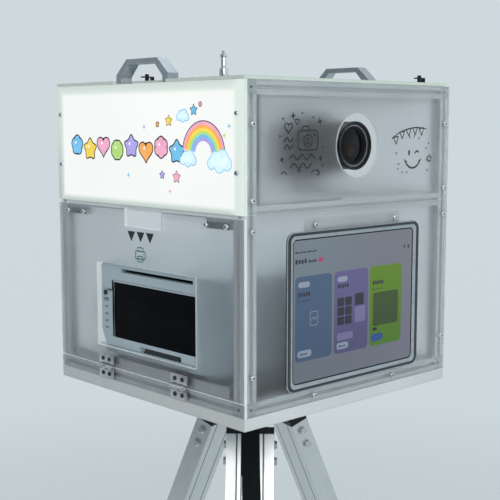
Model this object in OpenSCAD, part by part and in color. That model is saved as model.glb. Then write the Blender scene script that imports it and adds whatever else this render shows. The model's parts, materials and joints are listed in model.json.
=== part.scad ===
// Photo booth: a frosted box on an aluminium frame, standing on a folding survey-type tripod.
// Millimetres, +Z up. The front, with lens and tablet, faces -Y; the print side faces -X.
// The origin is on the floor, at the centre of the overall footprint.

/* [Booth box] */
// Width of the box along X
box_w = 450; // [400:5:560]
// Depth of the box along Y
box_d = 450; // [420:5:560]
// Height of the box, from the underside of its base board to the top sheet
box_h = 485; // [460:5:600]
// Thickness of the acrylic sheets
sheet_t = 5; // [4:0.5:6]
// Thickness of the base board
base_t = 18; // [12:1:24]
// Height of the seam between the upper and lower covers above the base underside
split_z = 298; // [290:1:306]
// Gap left between neighbouring covers
seam = 0.3; // [0.2:0.1:0.6]

/* [Frame] */
// Side of the square slotted bar
bar = 20; // [18:1:25]
// Width of the slot in the bar
slot_w = 6.2; // [6:0.1:7]
// Depth of the slot in the bar
slot_deep = 6; // [5.5:0.1:6.5]
// Thickness of the lips of the slot
slot_lip = 1.8; // [1.5:0.1:2.2]
// Radius of the bore along the bar
core_r = 2.1; // [1.5:0.1:2.6]
// Thickness of the sheets held in the slots
inset_t = 5; // [4:0.5:5.6]

/* [Lens window and camera] */
// Diameter of the lens window
window_d = 94.5; // [84:0.5:110]
// Height of the window centre above the base underside
window_z = 389; // [380:1:400]
// Distance of the window centre from the left side of the box
window_x = 229.5; // [200:0.5:260]
// Outer radius of the lens barrel
lens_r = 36; // [30:0.5:40]
// Length of the lens, rim to body
lens_len = 84; // [78:1:100]
// Running clearance of the lens rings
ring_gap = 0.05; // [0.02:0.01:0.1]
// Width of the camera body
cam_w = 128; // [110:1:140]
// Height of the camera body
cam_h = 92; // [80:1:100]
// Depth of the camera body
cam_d = 46; // [38:1:60]

/* [Tablet] */
// Width of the tablet
tab_w = 281; // [240:1:290]
// Height of the tablet
tab_h = 215; // [180:1:220]
// Thickness of the tablet
tab_t = 6.5; // [5:0.5:9]
// Width of the surround around the tablet
ring_w = 13; // [9:0.5:16]
// How far the surround stands proud of the cover
ring_proud = 2.5; // [1:0.5:4]
// Height of the tablet centre above the base underside
tab_z = 154; // [150:1:160]
// Distance of the tablet centre from the left side of the box
tab_x = 227.5; // [215:0.5:235]

/* [Print door] */
// Height of the door's lower edge above the base underside
door_z = 38.5; // [36:0.5:42]
// Height of the door's upper edge
door_top = 293; // [285:1:296]
// Width of the printer window in the door
cut_w = 243; // [238:1:260]
// Height of the printer window in the door
cut_h = 134; // [132:1:140]
// Width of the finger notch
notch_w = 90; // [60:1:120]
// Depth of the finger notch
notch_h = 28; // [20:1:34]
// Length of one hinge
hinge_len = 38; // [30:1:50]
// Radius of the hinge knuckle
knuckle_r = 3; // [2.5:0.1:3.4]
// Radius of the hinge pin
pin_r = 1.5; // [1.2:0.1:1.8]

/* [Printer] */
// Width of the printer
prn_w = 279.5; // [270:0.5:285]
// Height of the printer without its feet
prn_h = 140; // [136:1:160]
// Depth of the printer
prn_d = 322; // [280:1:340]
// Wall of the printer casing
prn_wall = 3; // [2:0.5:4]
// Height of the printer feet
foot_h = 8; // [5:1:12]
// Width of the tall part of the drawer front
drawer_w = 206.5; // [190:0.5:210]
// Height of the tall part of the drawer front
drawer_h = 105; // [100:0.5:112]
// Height of the low part of the drawer front, beside the window
drawer_low = 88.5; // [80:0.5:95]

/* [Stand] */
// Angle of each leg from the vertical when open
splay = 22.5; // [15:0.5:28]
// Length of a leg from hinge pin to foot centre, closed up
leg_len = 1050; // [900:10:1300]
// Distance of the hinge pins from the stand's axis
hinge_r = 60; // [58:1:72]
// Drop from the box underside to the hinge pins
pin_drop = 55; // [50:1:70]
// Overall width of a leg
leg_w = 77; // [68:1:90]
// Depth of a leg
leg_d = 32; // [26:1:40]
// Width of each hollow rail of a leg
rail_w = 24; // [20:0.5:26]
// Radius of the rubber foot
foot_r = 16; // [12:0.5:20]
// Radius of the leg hinge pins
leg_pin_r = 5; // [4:0.5:6]
// Radial clearance of pins and screws in their holes
fit = 0.05; // [0.02:0.01:0.1]
// Width of the carrying strap
strap_w = 30; // [25:1:38]

/* [Top fittings] */
// Length of a carrying handle
handle_len = 126; // [110:1:160]
// Height of a carrying handle
handle_h = 37; // [30:1:45]
// Radius of the lamp spigot
spigot_r = 4.9; // [4:0.1:8]
// Length of the lamp spigot's plain part
spigot_len = 16; // [12:1:30]

/* [Hidden] */
$fn = 48;

e = 1;                       // overshoot of a cutting tool
LEG_AZ = [225, 345, 105];    // directions of the three legs

// The stand's axis sits off the origin so that the footprint is centred
foot_reach = hinge_r + leg_len * sin(splay);
axis_off = -foot_reach * (cos(15) - cos(45)) / 2;
stand_h = foot_r + leg_len * cos(splay) + pin_drop;

// Colours
acrylic_c = [0.80, 0.83, 0.86];
alu_c = [0.76, 0.78, 0.80];
steel_c = [0.70, 0.71, 0.73];
black_c = [0.08, 0.08, 0.09];
white_c = [0.93, 0.94, 0.94];
printer_c = [0.55, 0.62, 0.66];

// Frame inside the box: covers stand outside it on the left and front only
frame_x0 = sheet_t;
frame_y0 = sheet_t;
frame_z0 = base_t;
frame_z1 = box_h - sheet_t;
post_x = [frame_x0, box_w - bar];
post_y = [frame_y0, box_d - bar];
mid_z0 = split_z - 8;
rail_z = [frame_z0, mid_z0, frame_z1 - bar];
left_post_c = frame_x0 + bar / 2;
right_post_c = box_w - bar / 2;
front_post_c = frame_y0 + bar / 2;
rear_post_c = box_d - bar / 2;

module place_box() {
    translate([axis_off - box_w / 2, axis_off - box_d / 2, stand_h]) children();
}

// A cylinder along +X, +Y or -Y from a point
module along_x(p, r, l) { translate(p) rotate([0, 90, 0]) cylinder(r = r, h = l); }
module along_y(p, r, l) { translate(p) rotate([-90, 0, 0]) cylinder(r = r, h = l); }

// ---------------------------------------------------------------- frame
// Slotted square bar: four T slots and a central bore
cavity = 5.5;
cavity_back = 3;
module bar_section() {
    h = bar / 2;
    floor_x = h - slot_deep;
    difference() {
        square(bar, center = true);
        for (a = [0:90:270]) rotate(a) {
            translate([floor_x, -slot_w / 2]) square([slot_deep + e, slot_w]);
            polygon([
                [h - slot_lip, -cavity], [h - slot_lip, cavity], [floor_x + 2.5, cavity],
                [floor_x, cavity_back], [floor_x, -cavity_back], [floor_x + 2.5, -cavity]
            ]);
        }
        circle(r = core_r);
    }
}

module bar_z(p, l) { translate([p[0] + bar / 2, p[1] + bar / 2, p[2]]) linear_extrude(l) bar_section(); }
module bar_x(p, l) {
    translate([p[0], p[1] + bar / 2, p[2] + bar / 2])
        rotate([90, 0, 90]) linear_extrude(l) bar_section();
}
module bar_y(p, l) {
    translate([p[0] + bar / 2, p[1] + l, p[2] + bar / 2])
        rotate([90, 0, 0]) linear_extrude(l) bar_section();
}

span_x = post_x[1] - post_x[0] - bar;
span_y = post_y[1] - post_y[0] - bar;

module frame_posts() {
    color(alu_c) place_box()
        for (x = post_x, y = post_y)
            bar_z([x, y, frame_z0 + bar], frame_z1 - frame_z0 - 2 * bar);
}

module frame_rails() {
    color(alu_c) place_box()
        for (z = rail_z) {
            for (y = post_y) bar_x([post_x[0] + bar, y, z], span_x);
            for (x = post_x) bar_y([x, post_y[0] + bar, z], span_y);
        }
}

// Corner cubes with their set screws' holes, and the two door magnets under the middle rail
screw_hole_r = 2.1;
magnet_len = 50;
magnet_h = 13;
magnet_d = 12;
strike_t = 1.2;
catch_y = [402, 58];
catch_pitch = 43;
catch_drop = mid_z0 - magnet_h / 2 - 2.5;

module corner_cube() {
    difference() {
        cube(bar);
        translate([bar / 2, -e, bar / 2]) rotate([-90, 0, 0]) cylinder(r = screw_hole_r, h = bar / 2);
        translate([-e, bar / 2, bar / 2]) rotate([0, 90, 0]) cylinder(r = screw_hole_r, h = bar / 2);
    }
}

module frame_hardware() {
    color(alu_c) place_box() {
        for (x = post_x, y = post_y, z = [rail_z[0], rail_z[2]]) translate([x, y, z]) corner_cube();
        for (y = catch_y)
            translate([frame_x0 + strike_t + seam, y - magnet_len / 2, mid_z0 - magnet_h])
                cube([magnet_d, magnet_len, magnet_h]);
    }
}

// ---------------------------------------------------------------- board and sheets
insert_r = 8;
module base_plate() {
    color(white_c) place_box() difference() {
        cube([box_w, box_d, base_t]);
        translate([box_w / 2, box_d / 2, -e]) cylinder(r = insert_r + fit, h = base_t + 2 * e);
    }
}

plate_t = 6;
plate_r = 90;
module mounting_plate() {
    color(alu_c) translate([axis_off, axis_off, stand_h - plate_t]) difference() {
        cylinder(r = plate_r, h = plate_t);
        translate([0, 0, -e]) cylinder(r = insert_r + fit, h = plate_t + 2 * e);
    }
}

handle_y = [230, 215];
handle_x = [frame_x0, box_w - bar];
top_short = 9;
spigot_at = [164, box_d / 2];
module top_panel() {
    gap = 0.5;
    color(acrylic_c) place_box() difference() {
        translate([0, 0, frame_z1]) cube([box_w - top_short, box_d, sheet_t]);
        for (i = [0, 1])
            translate([handle_x[i] - (i == 0 ? frame_x0 + e : gap),
                       handle_y[i] - handle_len / 2 - gap, frame_z1 - e])
                cube([bar + gap + (i == 0 ? frame_x0 + e : e), handle_len + 2 * gap, sheet_t + 2 * e]);
    }
}

screw_r = 2;
post_screw_z = [421, 318, 275.5, 74];
front_screw_x = [left_post_c, right_post_c];

module front_screw_holes(zs) {
    for (x = front_screw_x, z = zs) along_y([x, -e, z], screw_r + fit, sheet_t + 2 * e);
}

module front_upper_panel() {
    color(acrylic_c) place_box() difference() {
        translate([sheet_t + seam, 0, split_z + seam])
            cube([box_w - sheet_t - seam, sheet_t, frame_z1 - split_z - seam]);
        along_y([window_x, -e, window_z], window_d / 2, sheet_t + 2 * e);
        front_screw_holes([post_screw_z[0], post_screw_z[1]]);
    }
}

tab_gap = 2;
tab_screw_dx = 89;
tab_screw_z = [277.5, base_t + bar / 2];
module front_lower_panel() {
    color(acrylic_c) place_box() difference() {
        translate([sheet_t + seam, 0, base_t])
            cube([box_w - sheet_t - seam, sheet_t, split_z - base_t]);
        translate([tab_x - tab_w / 2 - tab_gap, -e, tab_z - tab_h / 2 - tab_gap])
            cube([tab_w + 2 * tab_gap, sheet_t + 2 * e, tab_h + 2 * tab_gap]);
        front_screw_holes([post_screw_z[2], post_screw_z[3]]);
        for (s = [-1, 1], z = tab_screw_z)
            along_y([tab_x + s * tab_screw_dx, -e, z], screw_r + fit, sheet_t + 2 * e);
    }
}

// A sheet held on all four sides in the slots, with its corners cut away for the frame's corners
seat = slot_deep - 0.5;
module slot_sheet(w, h) {
    translate([0, -inset_t / 2, 0]) {
        translate([-seat, 0, 0]) cube([w + 2 * seat, inset_t, h]);
        translate([seam, 0, -seat]) cube([w - 2 * seam, inset_t, h + 2 * seat]);
    }
}

inlet_at = [100, 90];
inlet_w = 48;
inlet_h = 28;
bay_z = [[rail_z[0] + bar, mid_z0 - rail_z[0] - bar], [mid_z0 + bar, rail_z[2] - mid_z0 - bar]];
module side_and_rear_panels() {
    color(acrylic_c) place_box() {
        for (b = bay_z)
            translate([right_post_c, post_y[0] + bar, b[0]]) rotate([0, 0, 90]) slot_sheet(span_y, b[1]);
        difference() {
            for (b = bay_z) translate([post_x[0] + bar, rear_post_c, b[0]]) slot_sheet(span_x, b[1]);
            translate([inlet_at[0] - fit, rear_post_c - inset_t, inlet_at[1] - fit])
                cube([inlet_w + 2 * fit, 2 * inset_t, inlet_h + 2 * fit]);
        }
    }
}

// ---------------------------------------------------------------- sign
sign_screw_z = [435, 355];
side_screw_y = [front_post_c, rear_post_c];
module sign_panel() {
    color([0.95, 0.97, 0.94]) place_box() difference() {
        translate([0, 0, split_z]) cube([sheet_t, box_d, frame_z1 - split_z]);
        for (y = side_screw_y, z = sign_screw_z) along_x([-e, y, z], screw_r + fit, sheet_t + 2 * e);
    }
}

tray_d = 40;
tray_wall = 2;
led_w = 10;
led_pitch = 30;
module sign_light_box() {
    x0 = frame_x0 + 2;
    y0 = post_y[0] + bar;
    z0 = mid_z0 + bar;
    h = rail_z[2] - z0;
    color(white_c) place_box() {
        difference() {
            translate([x0, y0, z0]) cube([tray_d, span_y, h]);
            translate([x0 - e, y0 + tray_wall, z0 + tray_wall])
                cube([tray_d - tray_wall + e, span_y - 2 * tray_wall, h - 2 * tray_wall]);
        }
        for (z = [z0 + led_pitch / 2 : led_pitch : z0 + h - led_w])
            translate([x0 + tray_d - tray_wall - 2, y0 + led_w, z]) cube([2, span_y - 2 * led_w, led_w]);
    }
}

// ---------------------------------------------------------------- cover screws
head_r = 3.6;
head_h = 2.6;
screw_len = 9;
// A button-head screw whose head rests on the plane at 0 and whose shank runs along +Z
module button_screw() {
    difference() {
        translate([0, 0, -head_h]) cylinder(r = head_r, h = head_h);
        translate([0, 0, -head_h - e]) cylinder(r = 1.5, h = head_h, $fn = 6);
    }
    cylinder(r = screw_r, h = screw_len);
}

module panel_screws() {
    color(steel_c) place_box() {
        for (x = front_screw_x, z = post_screw_z) translate([x, 0, z]) rotate([-90, 0, 0]) button_screw();
        for (s = [-1, 1], z = tab_screw_z)
            translate([tab_x + s * tab_screw_dx, 0, z]) rotate([-90, 0, 0]) button_screw();
        for (y = side_screw_y, z = sign_screw_z) translate([0, y, z]) rotate([0, 90, 0]) button_screw();
    }
}

// ---------------------------------------------------------------- print door
cut_y = 103;
cut_z = 70;
notch_y = 225;
hinge_y = [322.5, 141];
hinge_x = -knuckle_r - 0.4;
hinge_z = door_z - seam;
leaf_t = 1.5;
leaf_h = 19;
KNUCKLES = 5;
knuckle_len = hinge_len / KNUCKLES;

module printer_door() {
    color(acrylic_c) place_box() difference() {
        translate([0, seam, door_z]) cube([sheet_t, box_d - 2 * seam, door_top - door_z]);
        translate([-e, cut_y, cut_z]) cube([sheet_t + 2 * e, cut_w, cut_h]);
        translate([-e, notch_y - notch_w / 2, door_top - notch_h])
            cube([sheet_t + 2 * e, notch_w, notch_h + e]);
        for (y = catch_y, s = [-1, 1])
            along_x([-e, y + s * catch_pitch / 2, catch_drop], screw_r + fit, sheet_t + 2 * e);
    }
}

// Knuckles first, first + 2, ... of one hinge, with end clearance, and the leaf they belong to
module leaf(side, first) {
    end_gap = 0.15;
    difference() {
        union() {
            translate([-leaf_t, 0, side > 0 ? 0 : -leaf_h]) cube([leaf_t, hinge_len, leaf_h]);
            for (k = [first:2:KNUCKLES - 1])
                along_y([hinge_x, k * knuckle_len + end_gap, 0], knuckle_r, knuckle_len - 2 * end_gap);
        }
        along_y([hinge_x, -e, 0], pin_r + fit, hinge_len + 2 * e);
        for (k = [1 - first:2:KNUCKLES - 1])
            translate([hinge_x - knuckle_r - e, k * knuckle_len - end_gap, -knuckle_r - 0.5])
                cube([3 * knuckle_r, knuckle_len + 2 * end_gap, 2 * knuckle_r + 1]);
        for (y = [hinge_len * 0.28, hinge_len * 0.72])
            along_x([-leaf_t - e, y, side * leaf_h * 0.62], screw_r + fit, leaf_t + 2 * e);
    }
    for (y = [hinge_len * 0.28, hinge_len * 0.72])
        translate([-leaf_t, y, side * leaf_h * 0.62]) hinge_screw();
}

module hinge_screw() {
    rotate([0, 90, 0]) {
        difference() {
            translate([0, 0, -1.4]) cylinder(r = 3.1, h = 1.4);
            translate([0, 0, -2]) cylinder(r = 1.2, h = 1.4, $fn = 6);
        }
        cylinder(r = screw_r, h = leaf_t);
    }
}

module at_hinges() {
    for (y = hinge_y) translate([0, y - hinge_len / 2, hinge_z]) children();
}

module door_hinge_leaves() { color(steel_c) place_box() at_hinges() leaf(1, 1); }
module frame_hinge_leaves() { color(steel_c) place_box() at_hinges() leaf(-1, 0); }
module hinge_pins() {
    head = 0.8;
    color(steel_c) place_box() at_hinges() {
        along_y([hinge_x, 0, 0], pin_r, hinge_len);
        along_y([hinge_x, -head, 0], pin_r + 1, head + 0.15);
        along_y([hinge_x, hinge_len - 0.15, 0], pin_r + 1, head + 0.15);
    }
}

module strike_plates() {
    plate_h = 9;
    color(steel_c) place_box() for (y = catch_y) {
        translate([sheet_t, y - magnet_len / 2 + 1, catch_drop - plate_h / 2])
            cube([strike_t, magnet_len - 2, plate_h]);
        for (s = [-1, 1]) translate([0, y + s * catch_pitch / 2, catch_drop]) rotate([0, 90, 0]) {
            difference() {
                translate([0, 0, -head_h]) cylinder(r = head_r, h = head_h);
                translate([0, 0, -head_h - e]) cylinder(r = 1.5, h = head_h, $fn = 6);
            }
            cylinder(r = screw_r, h = sheet_t);
        }
    }
}

module sill_strip() {
    color(acrylic_c) place_box()
        translate([0, 0, base_t]) cube([sheet_t, box_d, door_z - 2 * seam - base_t]);
}

// ---------------------------------------------------------------- tablet
bevel = 1.2;
round_out = 14;
round_in = 8;
module round_rect(w, h, r) {
    translate([-w / 2 + r, -h / 2]) square([w - 2 * r, h]);
    translate([-w / 2, -h / 2 + r]) square([w, h - 2 * r]);
    for (x = [-1, 1], y = [-1, 1]) translate([x * (w / 2 - r), y * (h / 2 - r)]) circle(r = r);
}

// Outline in the front plane, thickened towards the inside
module front_slab(y0, t) {
    translate([tab_x, y0, tab_z]) rotate([-90, 0, 0]) linear_extrude(t) children();
}

view_w = tab_w - 11;
view_h = tab_h - 5;
module tablet_surround() {
    color([0.28, 0.31, 0.34]) place_box() difference() {
        front_slab(-ring_proud, ring_proud)
            round_rect(view_w + 2 * ring_w, view_h + 2 * ring_w - 5, round_out);
        front_slab(-ring_proud - e, ring_proud + 2 * e) round_rect(view_w, view_h, round_in);
    }
}

tab_y0 = 0.3;
key_len = 12;
key_travel = 0.6;
module tablet() {
    color([0.10, 0.10, 0.12]) place_box() difference() {
        front_slab(tab_y0, tab_t) round_rect(tab_w, tab_h, 12);
        tablet_key(fit);
    }
}

// The key sits in a pocket in the upper edge of the tablet
module tablet_key(grow) {
    deep = grow > 0 ? 2 + key_travel + 0.4 : 2;
    translate([tab_x + tab_w / 2 - 40 - grow, tab_y0 + tab_t / 2 - 1.2 - grow, tab_z + tab_h / 2 - deep])
        cube([key_len + 2 * grow, 2.4 + 2 * grow, deep + (grow > 0 ? e : 0.7)]);
}

module tablet_power_button() { color(steel_c) place_box() tablet_key(0); }

// ---------------------------------------------------------------- camera
lens_x = window_x + 3.5;
lens_z = window_z - 0.5;
lens_y = sheet_t + 3;
mount_y = lens_y + lens_len;
core_lens_r = lens_r - 5;
focus_y = lens_y + 16;
focus_len = 16;
zoom_y = focus_y + focus_len + 4;
zoom_len = 24;

module lens_tube(y0, r0, l, bore) {
    translate([lens_x, y0, lens_z]) rotate([-90, 0, 0]) difference() {
        cylinder(r = r0, h = l);
        translate([0, 0, -e]) cylinder(r = bore, h = l + 2 * e);
    }
}

module lens_barrel() {
    color(black_c) place_box() {
        difference() {
            union() {
                lens_tube(lens_y, lens_r, focus_y - lens_y - seam, lens_r - 3);
                lens_tube(lens_y, core_lens_r, lens_len, core_lens_r - 4);
                lens_tube(lens_y + 6, lens_r - 1, focus_y - lens_y - 6 - seam, core_lens_r - 4);
                lens_tube(focus_y + focus_len + seam, lens_r - 1, 4 - 2 * seam, core_lens_r - 4);
                lens_tube(zoom_y + zoom_len + seam, lens_r - 2, mount_y - zoom_y - zoom_len - seam,
                          core_lens_r - 4);
            }
            along_y([lens_x, lens_y - e, lens_z], lens_r - 8, 6 + e);
        }
    }
}

module grip_ring(y0, l, r0) {
    teeth = 36;
    difference() {
        lens_tube(y0, r0, l, core_lens_r + ring_gap);
        for (i = [0:teeth - 1])
            translate([lens_x, y0, lens_z]) rotate([-90, 0, 0]) rotate(i * 360 / teeth)
                translate([r0 - 0.7, -0.9, 2]) cube([2, 1.8, l - 4]);
    }
}

module lens_focus_ring() { color(black_c) place_box() grip_ring(focus_y, focus_len, lens_r - 0.5); }
module lens_zoom_ring() { color(black_c) place_box() grip_ring(zoom_y, zoom_len, lens_r + 1); }

glass_r = core_lens_r - 4;
module lens_glass() {
    bulge = 2.5;
    sphere_r = (glass_r * glass_r + bulge * bulge) / (2 * bulge);
    color([0.1, 0.12, 0.18]) place_box() translate([lens_x, lens_y + 10, lens_z]) rotate([-90, 0, 0])
        union() {
            cylinder(r = glass_r - fit, h = 5);
            intersection() {
                translate([0, 0, sphere_r - bulge]) sphere(r = sphere_r, $fn = 96);
                translate([0, 0, -bulge]) cylinder(r = glass_r - fit, h = bulge + e);
            }
        }
}

body_z0 = lens_z - cam_h / 2 - 2;
button_x = lens_x - cam_w / 2 + 14;
dial_x = lens_x + cam_w / 2 - 24;
cam_round = 9;
module camera_body() {
    color(black_c) place_box() difference() {
        union() {
            translate([lens_x - cam_w / 2, mount_y, body_z0]) linear_extrude(cam_h - 12)
                translate([cam_w / 2, cam_d / 2]) round_rect(cam_w, cam_d, cam_round);
            translate([lens_x - 24, mount_y, body_z0 + cam_h - 12]) cube([48, cam_d, 12]);
            translate([lens_x - cam_w / 2, mount_y - 18, body_z0]) linear_extrude(cam_h - 16)
                translate([15, 20]) round_rect(30, 40, cam_round);
        }
        translate([button_x, mount_y - 6, body_z0 + cam_h - 16 - 3]) cylinder(r = 5 + fit, h = 10);
        translate([dial_x, mount_y + cam_d / 2, body_z0 + cam_h - 12 - 3]) cylinder(r = 2 + fit, h = 10);
    }
}

module shutter_button() {
    color(steel_c) place_box() translate([button_x, mount_y - 6, body_z0 + cam_h - 16 - 1.5])
        cylinder(r = 5, h = 4);
}

module mode_dial() {
    color(black_c) place_box() translate([dial_x, mount_y + cam_d / 2, body_z0 + cam_h - 12]) {
        translate([0, 0, -3 + seam]) cylinder(r = 2, h = 4);
        translate([0, 0, seam]) difference() {
            cylinder(r = 9, h = 7);
            for (i = [0:23]) rotate(i * 15) translate([8.5, -0.5, 1]) cube([1, 1, 7]);
        }
    }
}

// Tablet back plate with two stand-offs, and the camera's pedestal on the front middle rail
module inner_brackets() {
    back_t = 2;
    y0 = tab_y0 + tab_t;
    color(alu_c) place_box() {
        difference() {
            union() {
                translate([tab_x - 105, y0, frame_z0 + bar])
                    cube([210, back_t, tab_screw_z[0] + 8 - frame_z0 - bar]);
                for (s = [-1, 1])
                    along_y([tab_x + s * tab_screw_dx, sheet_t, tab_screw_z[0]], 5, y0 - sheet_t + back_t);
            }
            for (s = [-1, 1])
                along_y([tab_x + s * tab_screw_dx, 0, tab_screw_z[0]], screw_r + fit, y0 + 2 * back_t);
        }
        translate([lens_x - 35, frame_y0, mid_z0 + bar]) cube([70, mount_y + cam_d - frame_y0, 4]);
        translate([lens_x - 20, mount_y + 6, mid_z0 + bar + 4])
            cube([40, cam_d - 12, body_z0 - mid_z0 - bar - 4]);
    }
}

// ---------------------------------------------------------------- printer
prn_x = sheet_t + 2;
prn_y = cut_y + cut_w - 2.5 - prn_w;
shelf_top = frame_z0 + bar + 16;
prn_z = shelf_top + foot_h;
drawer_y = cut_y + 3;
drawer_z = cut_z + 1.5;
drawer_gap = 0.5;
drawer_front_t = 10;
drawer_depth = 190;
slot_y0 = 117;
slot_len = 175;
slot_z = 190.5;
slot_h = 6;
strip_y = prn_y + prn_w - 12;
chamfer_y = 16;
chamfer_z = 32;
btn_z = 144;

module printer_outline() {
    polygon([
        [0, 0], [prn_w - chamfer_y, 0], [prn_w, chamfer_z], [prn_w, prn_h - 4],
        [prn_w - 4, prn_h], [4, prn_h], [0, prn_h - 4]
    ]);
}

// Drawer front: tall at the window, lower beside it, grown by a clearance
module drawer_outline(g) {
    low_w = prn_y + prn_w - drawer_y + 2 * g + e;
    translate([prn_y + g, prn_z - g]) intersection() {
        translate([-prn_y, -prn_z]) union() {
            translate([drawer_y - 2 * g, drawer_z]) square([drawer_w + 2 * g, drawer_h + 2 * g]);
            translate([drawer_y - 2 * g, drawer_z]) square([low_w, drawer_low + 2 * g]);
        }
        printer_outline();
    }
}

// Outline drawn in Y and Z, thickened along +X
module side_slab(x0, t) { translate([x0, 0, 0]) rotate([90, 0, 90]) linear_extrude(t) children(); }

front_wall = 12;
runner_w = 10;
module printer_housing() {
    color(printer_c) place_box() {
        difference() {
            side_slab(prn_x, prn_d) translate([prn_y, prn_z]) printer_outline();
            translate([prn_x + front_wall, prn_y + prn_wall + chamfer_y, prn_z + prn_wall])
                cube([prn_d - front_wall - prn_wall, prn_w - 2 * prn_wall - 2 * chamfer_y,
                      prn_h - 2 * prn_wall]);
            side_slab(prn_x - e, front_wall + e) drawer_outline(drawer_gap);
            translate([prn_x - e, slot_y0, slot_z]) cube([front_wall + 2 * e, slot_len, slot_h]);
        }
        for (y = [drawer_y + 12, drawer_y + drawer_w - 12 - runner_w])
            translate([prn_x + front_wall, y, prn_z + prn_wall])
                cube([drawer_depth + 20, runner_w, drawer_z + 4 - seam - prn_z - prn_wall]);
        for (x = [prn_x + 25, prn_x + prn_d - 25], y = [prn_y + 30, prn_y + prn_w - 30])
            translate([x, y, shelf_top]) cylinder(r = 9, h = foot_h);
    }
}

pane_inset = 2;
pane_border_y = 2.5;
pane_z = [86, 174];
grip_w = 100;
grip_y = 195;
module printer_drawer() {
    x0 = prn_x;
    tray_h = 70;
    wall = 2;
    color(printer_c) place_box() difference() {
        union() {
            side_slab(x0, drawer_front_t) drawer_outline(0);
            translate([x0 + drawer_front_t, drawer_y + 6, drawer_z + 4])
                cube([drawer_depth - drawer_front_t, drawer_w - 12, tray_h]);
        }
        translate([x0 - e, drawer_y + pane_border_y, pane_z[0]])
            cube([pane_inset + e, drawer_w - 2 * pane_border_y, pane_z[1] - pane_z[0]]);
        translate([x0 + drawer_front_t, drawer_y + 6 + wall, drawer_z + 4 + wall])
            cube([drawer_depth - drawer_front_t - wall, drawer_w - 12 - 2 * wall, tray_h]);
        translate([x0 - e, grip_y - grip_w / 2, drawer_z - e]) cube([6 + e, grip_w, 8 + e]);
        translate([x0 - e, strip_y - 6 - fit, btn_z - 2.5 - fit]) cube([4 + e, 12 + 2 * fit, 5 + 2 * fit]);
    }
}

module printer_drawer_window() {
    color([0.04, 0.04, 0.06]) place_box()
        translate([prn_x + 0.4, drawer_y + pane_border_y + 0.2, pane_z[0] + 0.2])
            cube([pane_inset - 0.4, drawer_w - 2 * pane_border_y - 0.4, pane_z[1] - pane_z[0] - 0.4]);
}

module printer_power_button() {
    color([0.4, 0.45, 0.5]) place_box()
        translate([prn_x - 0.6, strip_y - 6, btn_z - 2.5]) cube([3, 12, 5]);
}

// Shelf with two folded edges: the left one stands on the bottom rail, the right one on the base board
module printer_shelf() {
    t = 3;
    side_gap = 12;
    x0 = frame_x0 + 3;
    len = prn_d + 8;
    y0 = frame_y0 + bar + side_gap;
    w = span_y - 2 * side_gap;
    color(alu_c) place_box() {
        translate([x0, y0, shelf_top - t]) cube([len, w, t]);
        translate([x0, y0, frame_z0 + bar]) cube([t, w, shelf_top - frame_z0 - bar]);
        translate([x0 + len - t, y0, base_t]) cube([t, w, shelf_top - base_t]);
    }
}

// ---------------------------------------------------------------- mains inlet
inlet_flange = 3;
rocker_w = 12;
rocker_h = 20;
rocker_x = inlet_at[0] + 38;
rocker_z = inlet_at[1] + inlet_h / 2;
inlet_y = rear_post_c + inset_t / 2;
module power_inlet() {
    color(black_c) place_box() difference() {
        union() {
            translate([inlet_at[0], rear_post_c - 22, inlet_at[1]])
                cube([inlet_w, inlet_y - rear_post_c + 22, inlet_h]);
            translate([inlet_at[0] - inlet_flange, inlet_y, inlet_at[1] - inlet_flange])
                cube([inlet_w + 2 * inlet_flange, 2.5, inlet_h + 2 * inlet_flange]);
        }
        translate([inlet_at[0] + 3, inlet_y + 2.5 - 16, inlet_at[1] + 6]) cube([26, 20, 16]);
        translate([rocker_x - rocker_w / 2 - 0.5, inlet_y + 2.5 - 9, rocker_z - rocker_h / 2 - 0.5])
            cube([rocker_w + 1, 20, rocker_h + 1]);
    }
}

rocker_pin_r = 1.5;
rocker_pin_y = inlet_y + 2.5 - 4;
module rocker_switch() {
    color(black_c) place_box() translate([rocker_x, rocker_pin_y, rocker_z]) {
        rotate([0, 90, 0]) translate([0, 0, -rocker_w / 2]) linear_extrude(rocker_w)
            polygon([[-9, 1], [-9, 5.2], [0, 3.4], [9, 4.2], [9, 1], [0, -3]]);
        along_x([-rocker_w / 2 - 0.45, 0, 0], rocker_pin_r, rocker_w + 0.9);
    }
}

// ---------------------------------------------------------------- top fittings
module handle_outline() {
    l = handle_len;
    h = handle_h;
    leg = 14;
    slant = 26;
    bar_t = 8;
    polygon([
        [0, 0], [0, leg], [slant, h], [l - slant, h], [l, leg], [l, 0],
        [l - 13.5, 0], [l - 13.5, leg - 4], [l - slant - 6, h - bar_t], [slant + 6, h - bar_t],
        [13.5, leg - 4], [13.5, 0]
    ]);
}

module carry_handles() {
    color(alu_c) place_box() for (i = [0, 1])
        translate([0, handle_y[i] - handle_len / 2, frame_z1])
            side_slab(handle_x[i], bar) handle_outline();
}

collar_r = 7.9;
collar_h = 23;
module light_spigot() {
    color(steel_c) place_box() translate([spigot_at[0], spigot_at[1], box_h]) {
        cylinder(r = collar_r, h = collar_h);
        cylinder(r = spigot_r, h = collar_h + spigot_len);
        translate([0, 0, collar_h + spigot_len]) cylinder(r = spigot_r + 1.1, h = 6);
        translate([0, 0, collar_h + spigot_len]) cylinder(r = spigot_r - 2, h = 12);
    }
}

clip_at = [[384, 10], [45, 268]];
clip_head_r = 3.2;
module top_clips() {
    color(black_c) place_box() for (p = clip_at) translate([p[0], p[1], box_h]) {
        cylinder(r = clip_head_r, h = 11);
        translate([-10, -2.5, 5.5]) cube([22, 5, 2]);
        translate([8, -2.5, 0]) cube([4, 5, 7]);
    }
}

// ---------------------------------------------------------------- stand
head_r_out = 80;
head_t = 16;
hub_w = 30;
lug_t = 12;
lug_gap = 0.3;
lug_r = 13;
pin_z = stand_h - pin_drop;
head_top = stand_h - plate_t;

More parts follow.
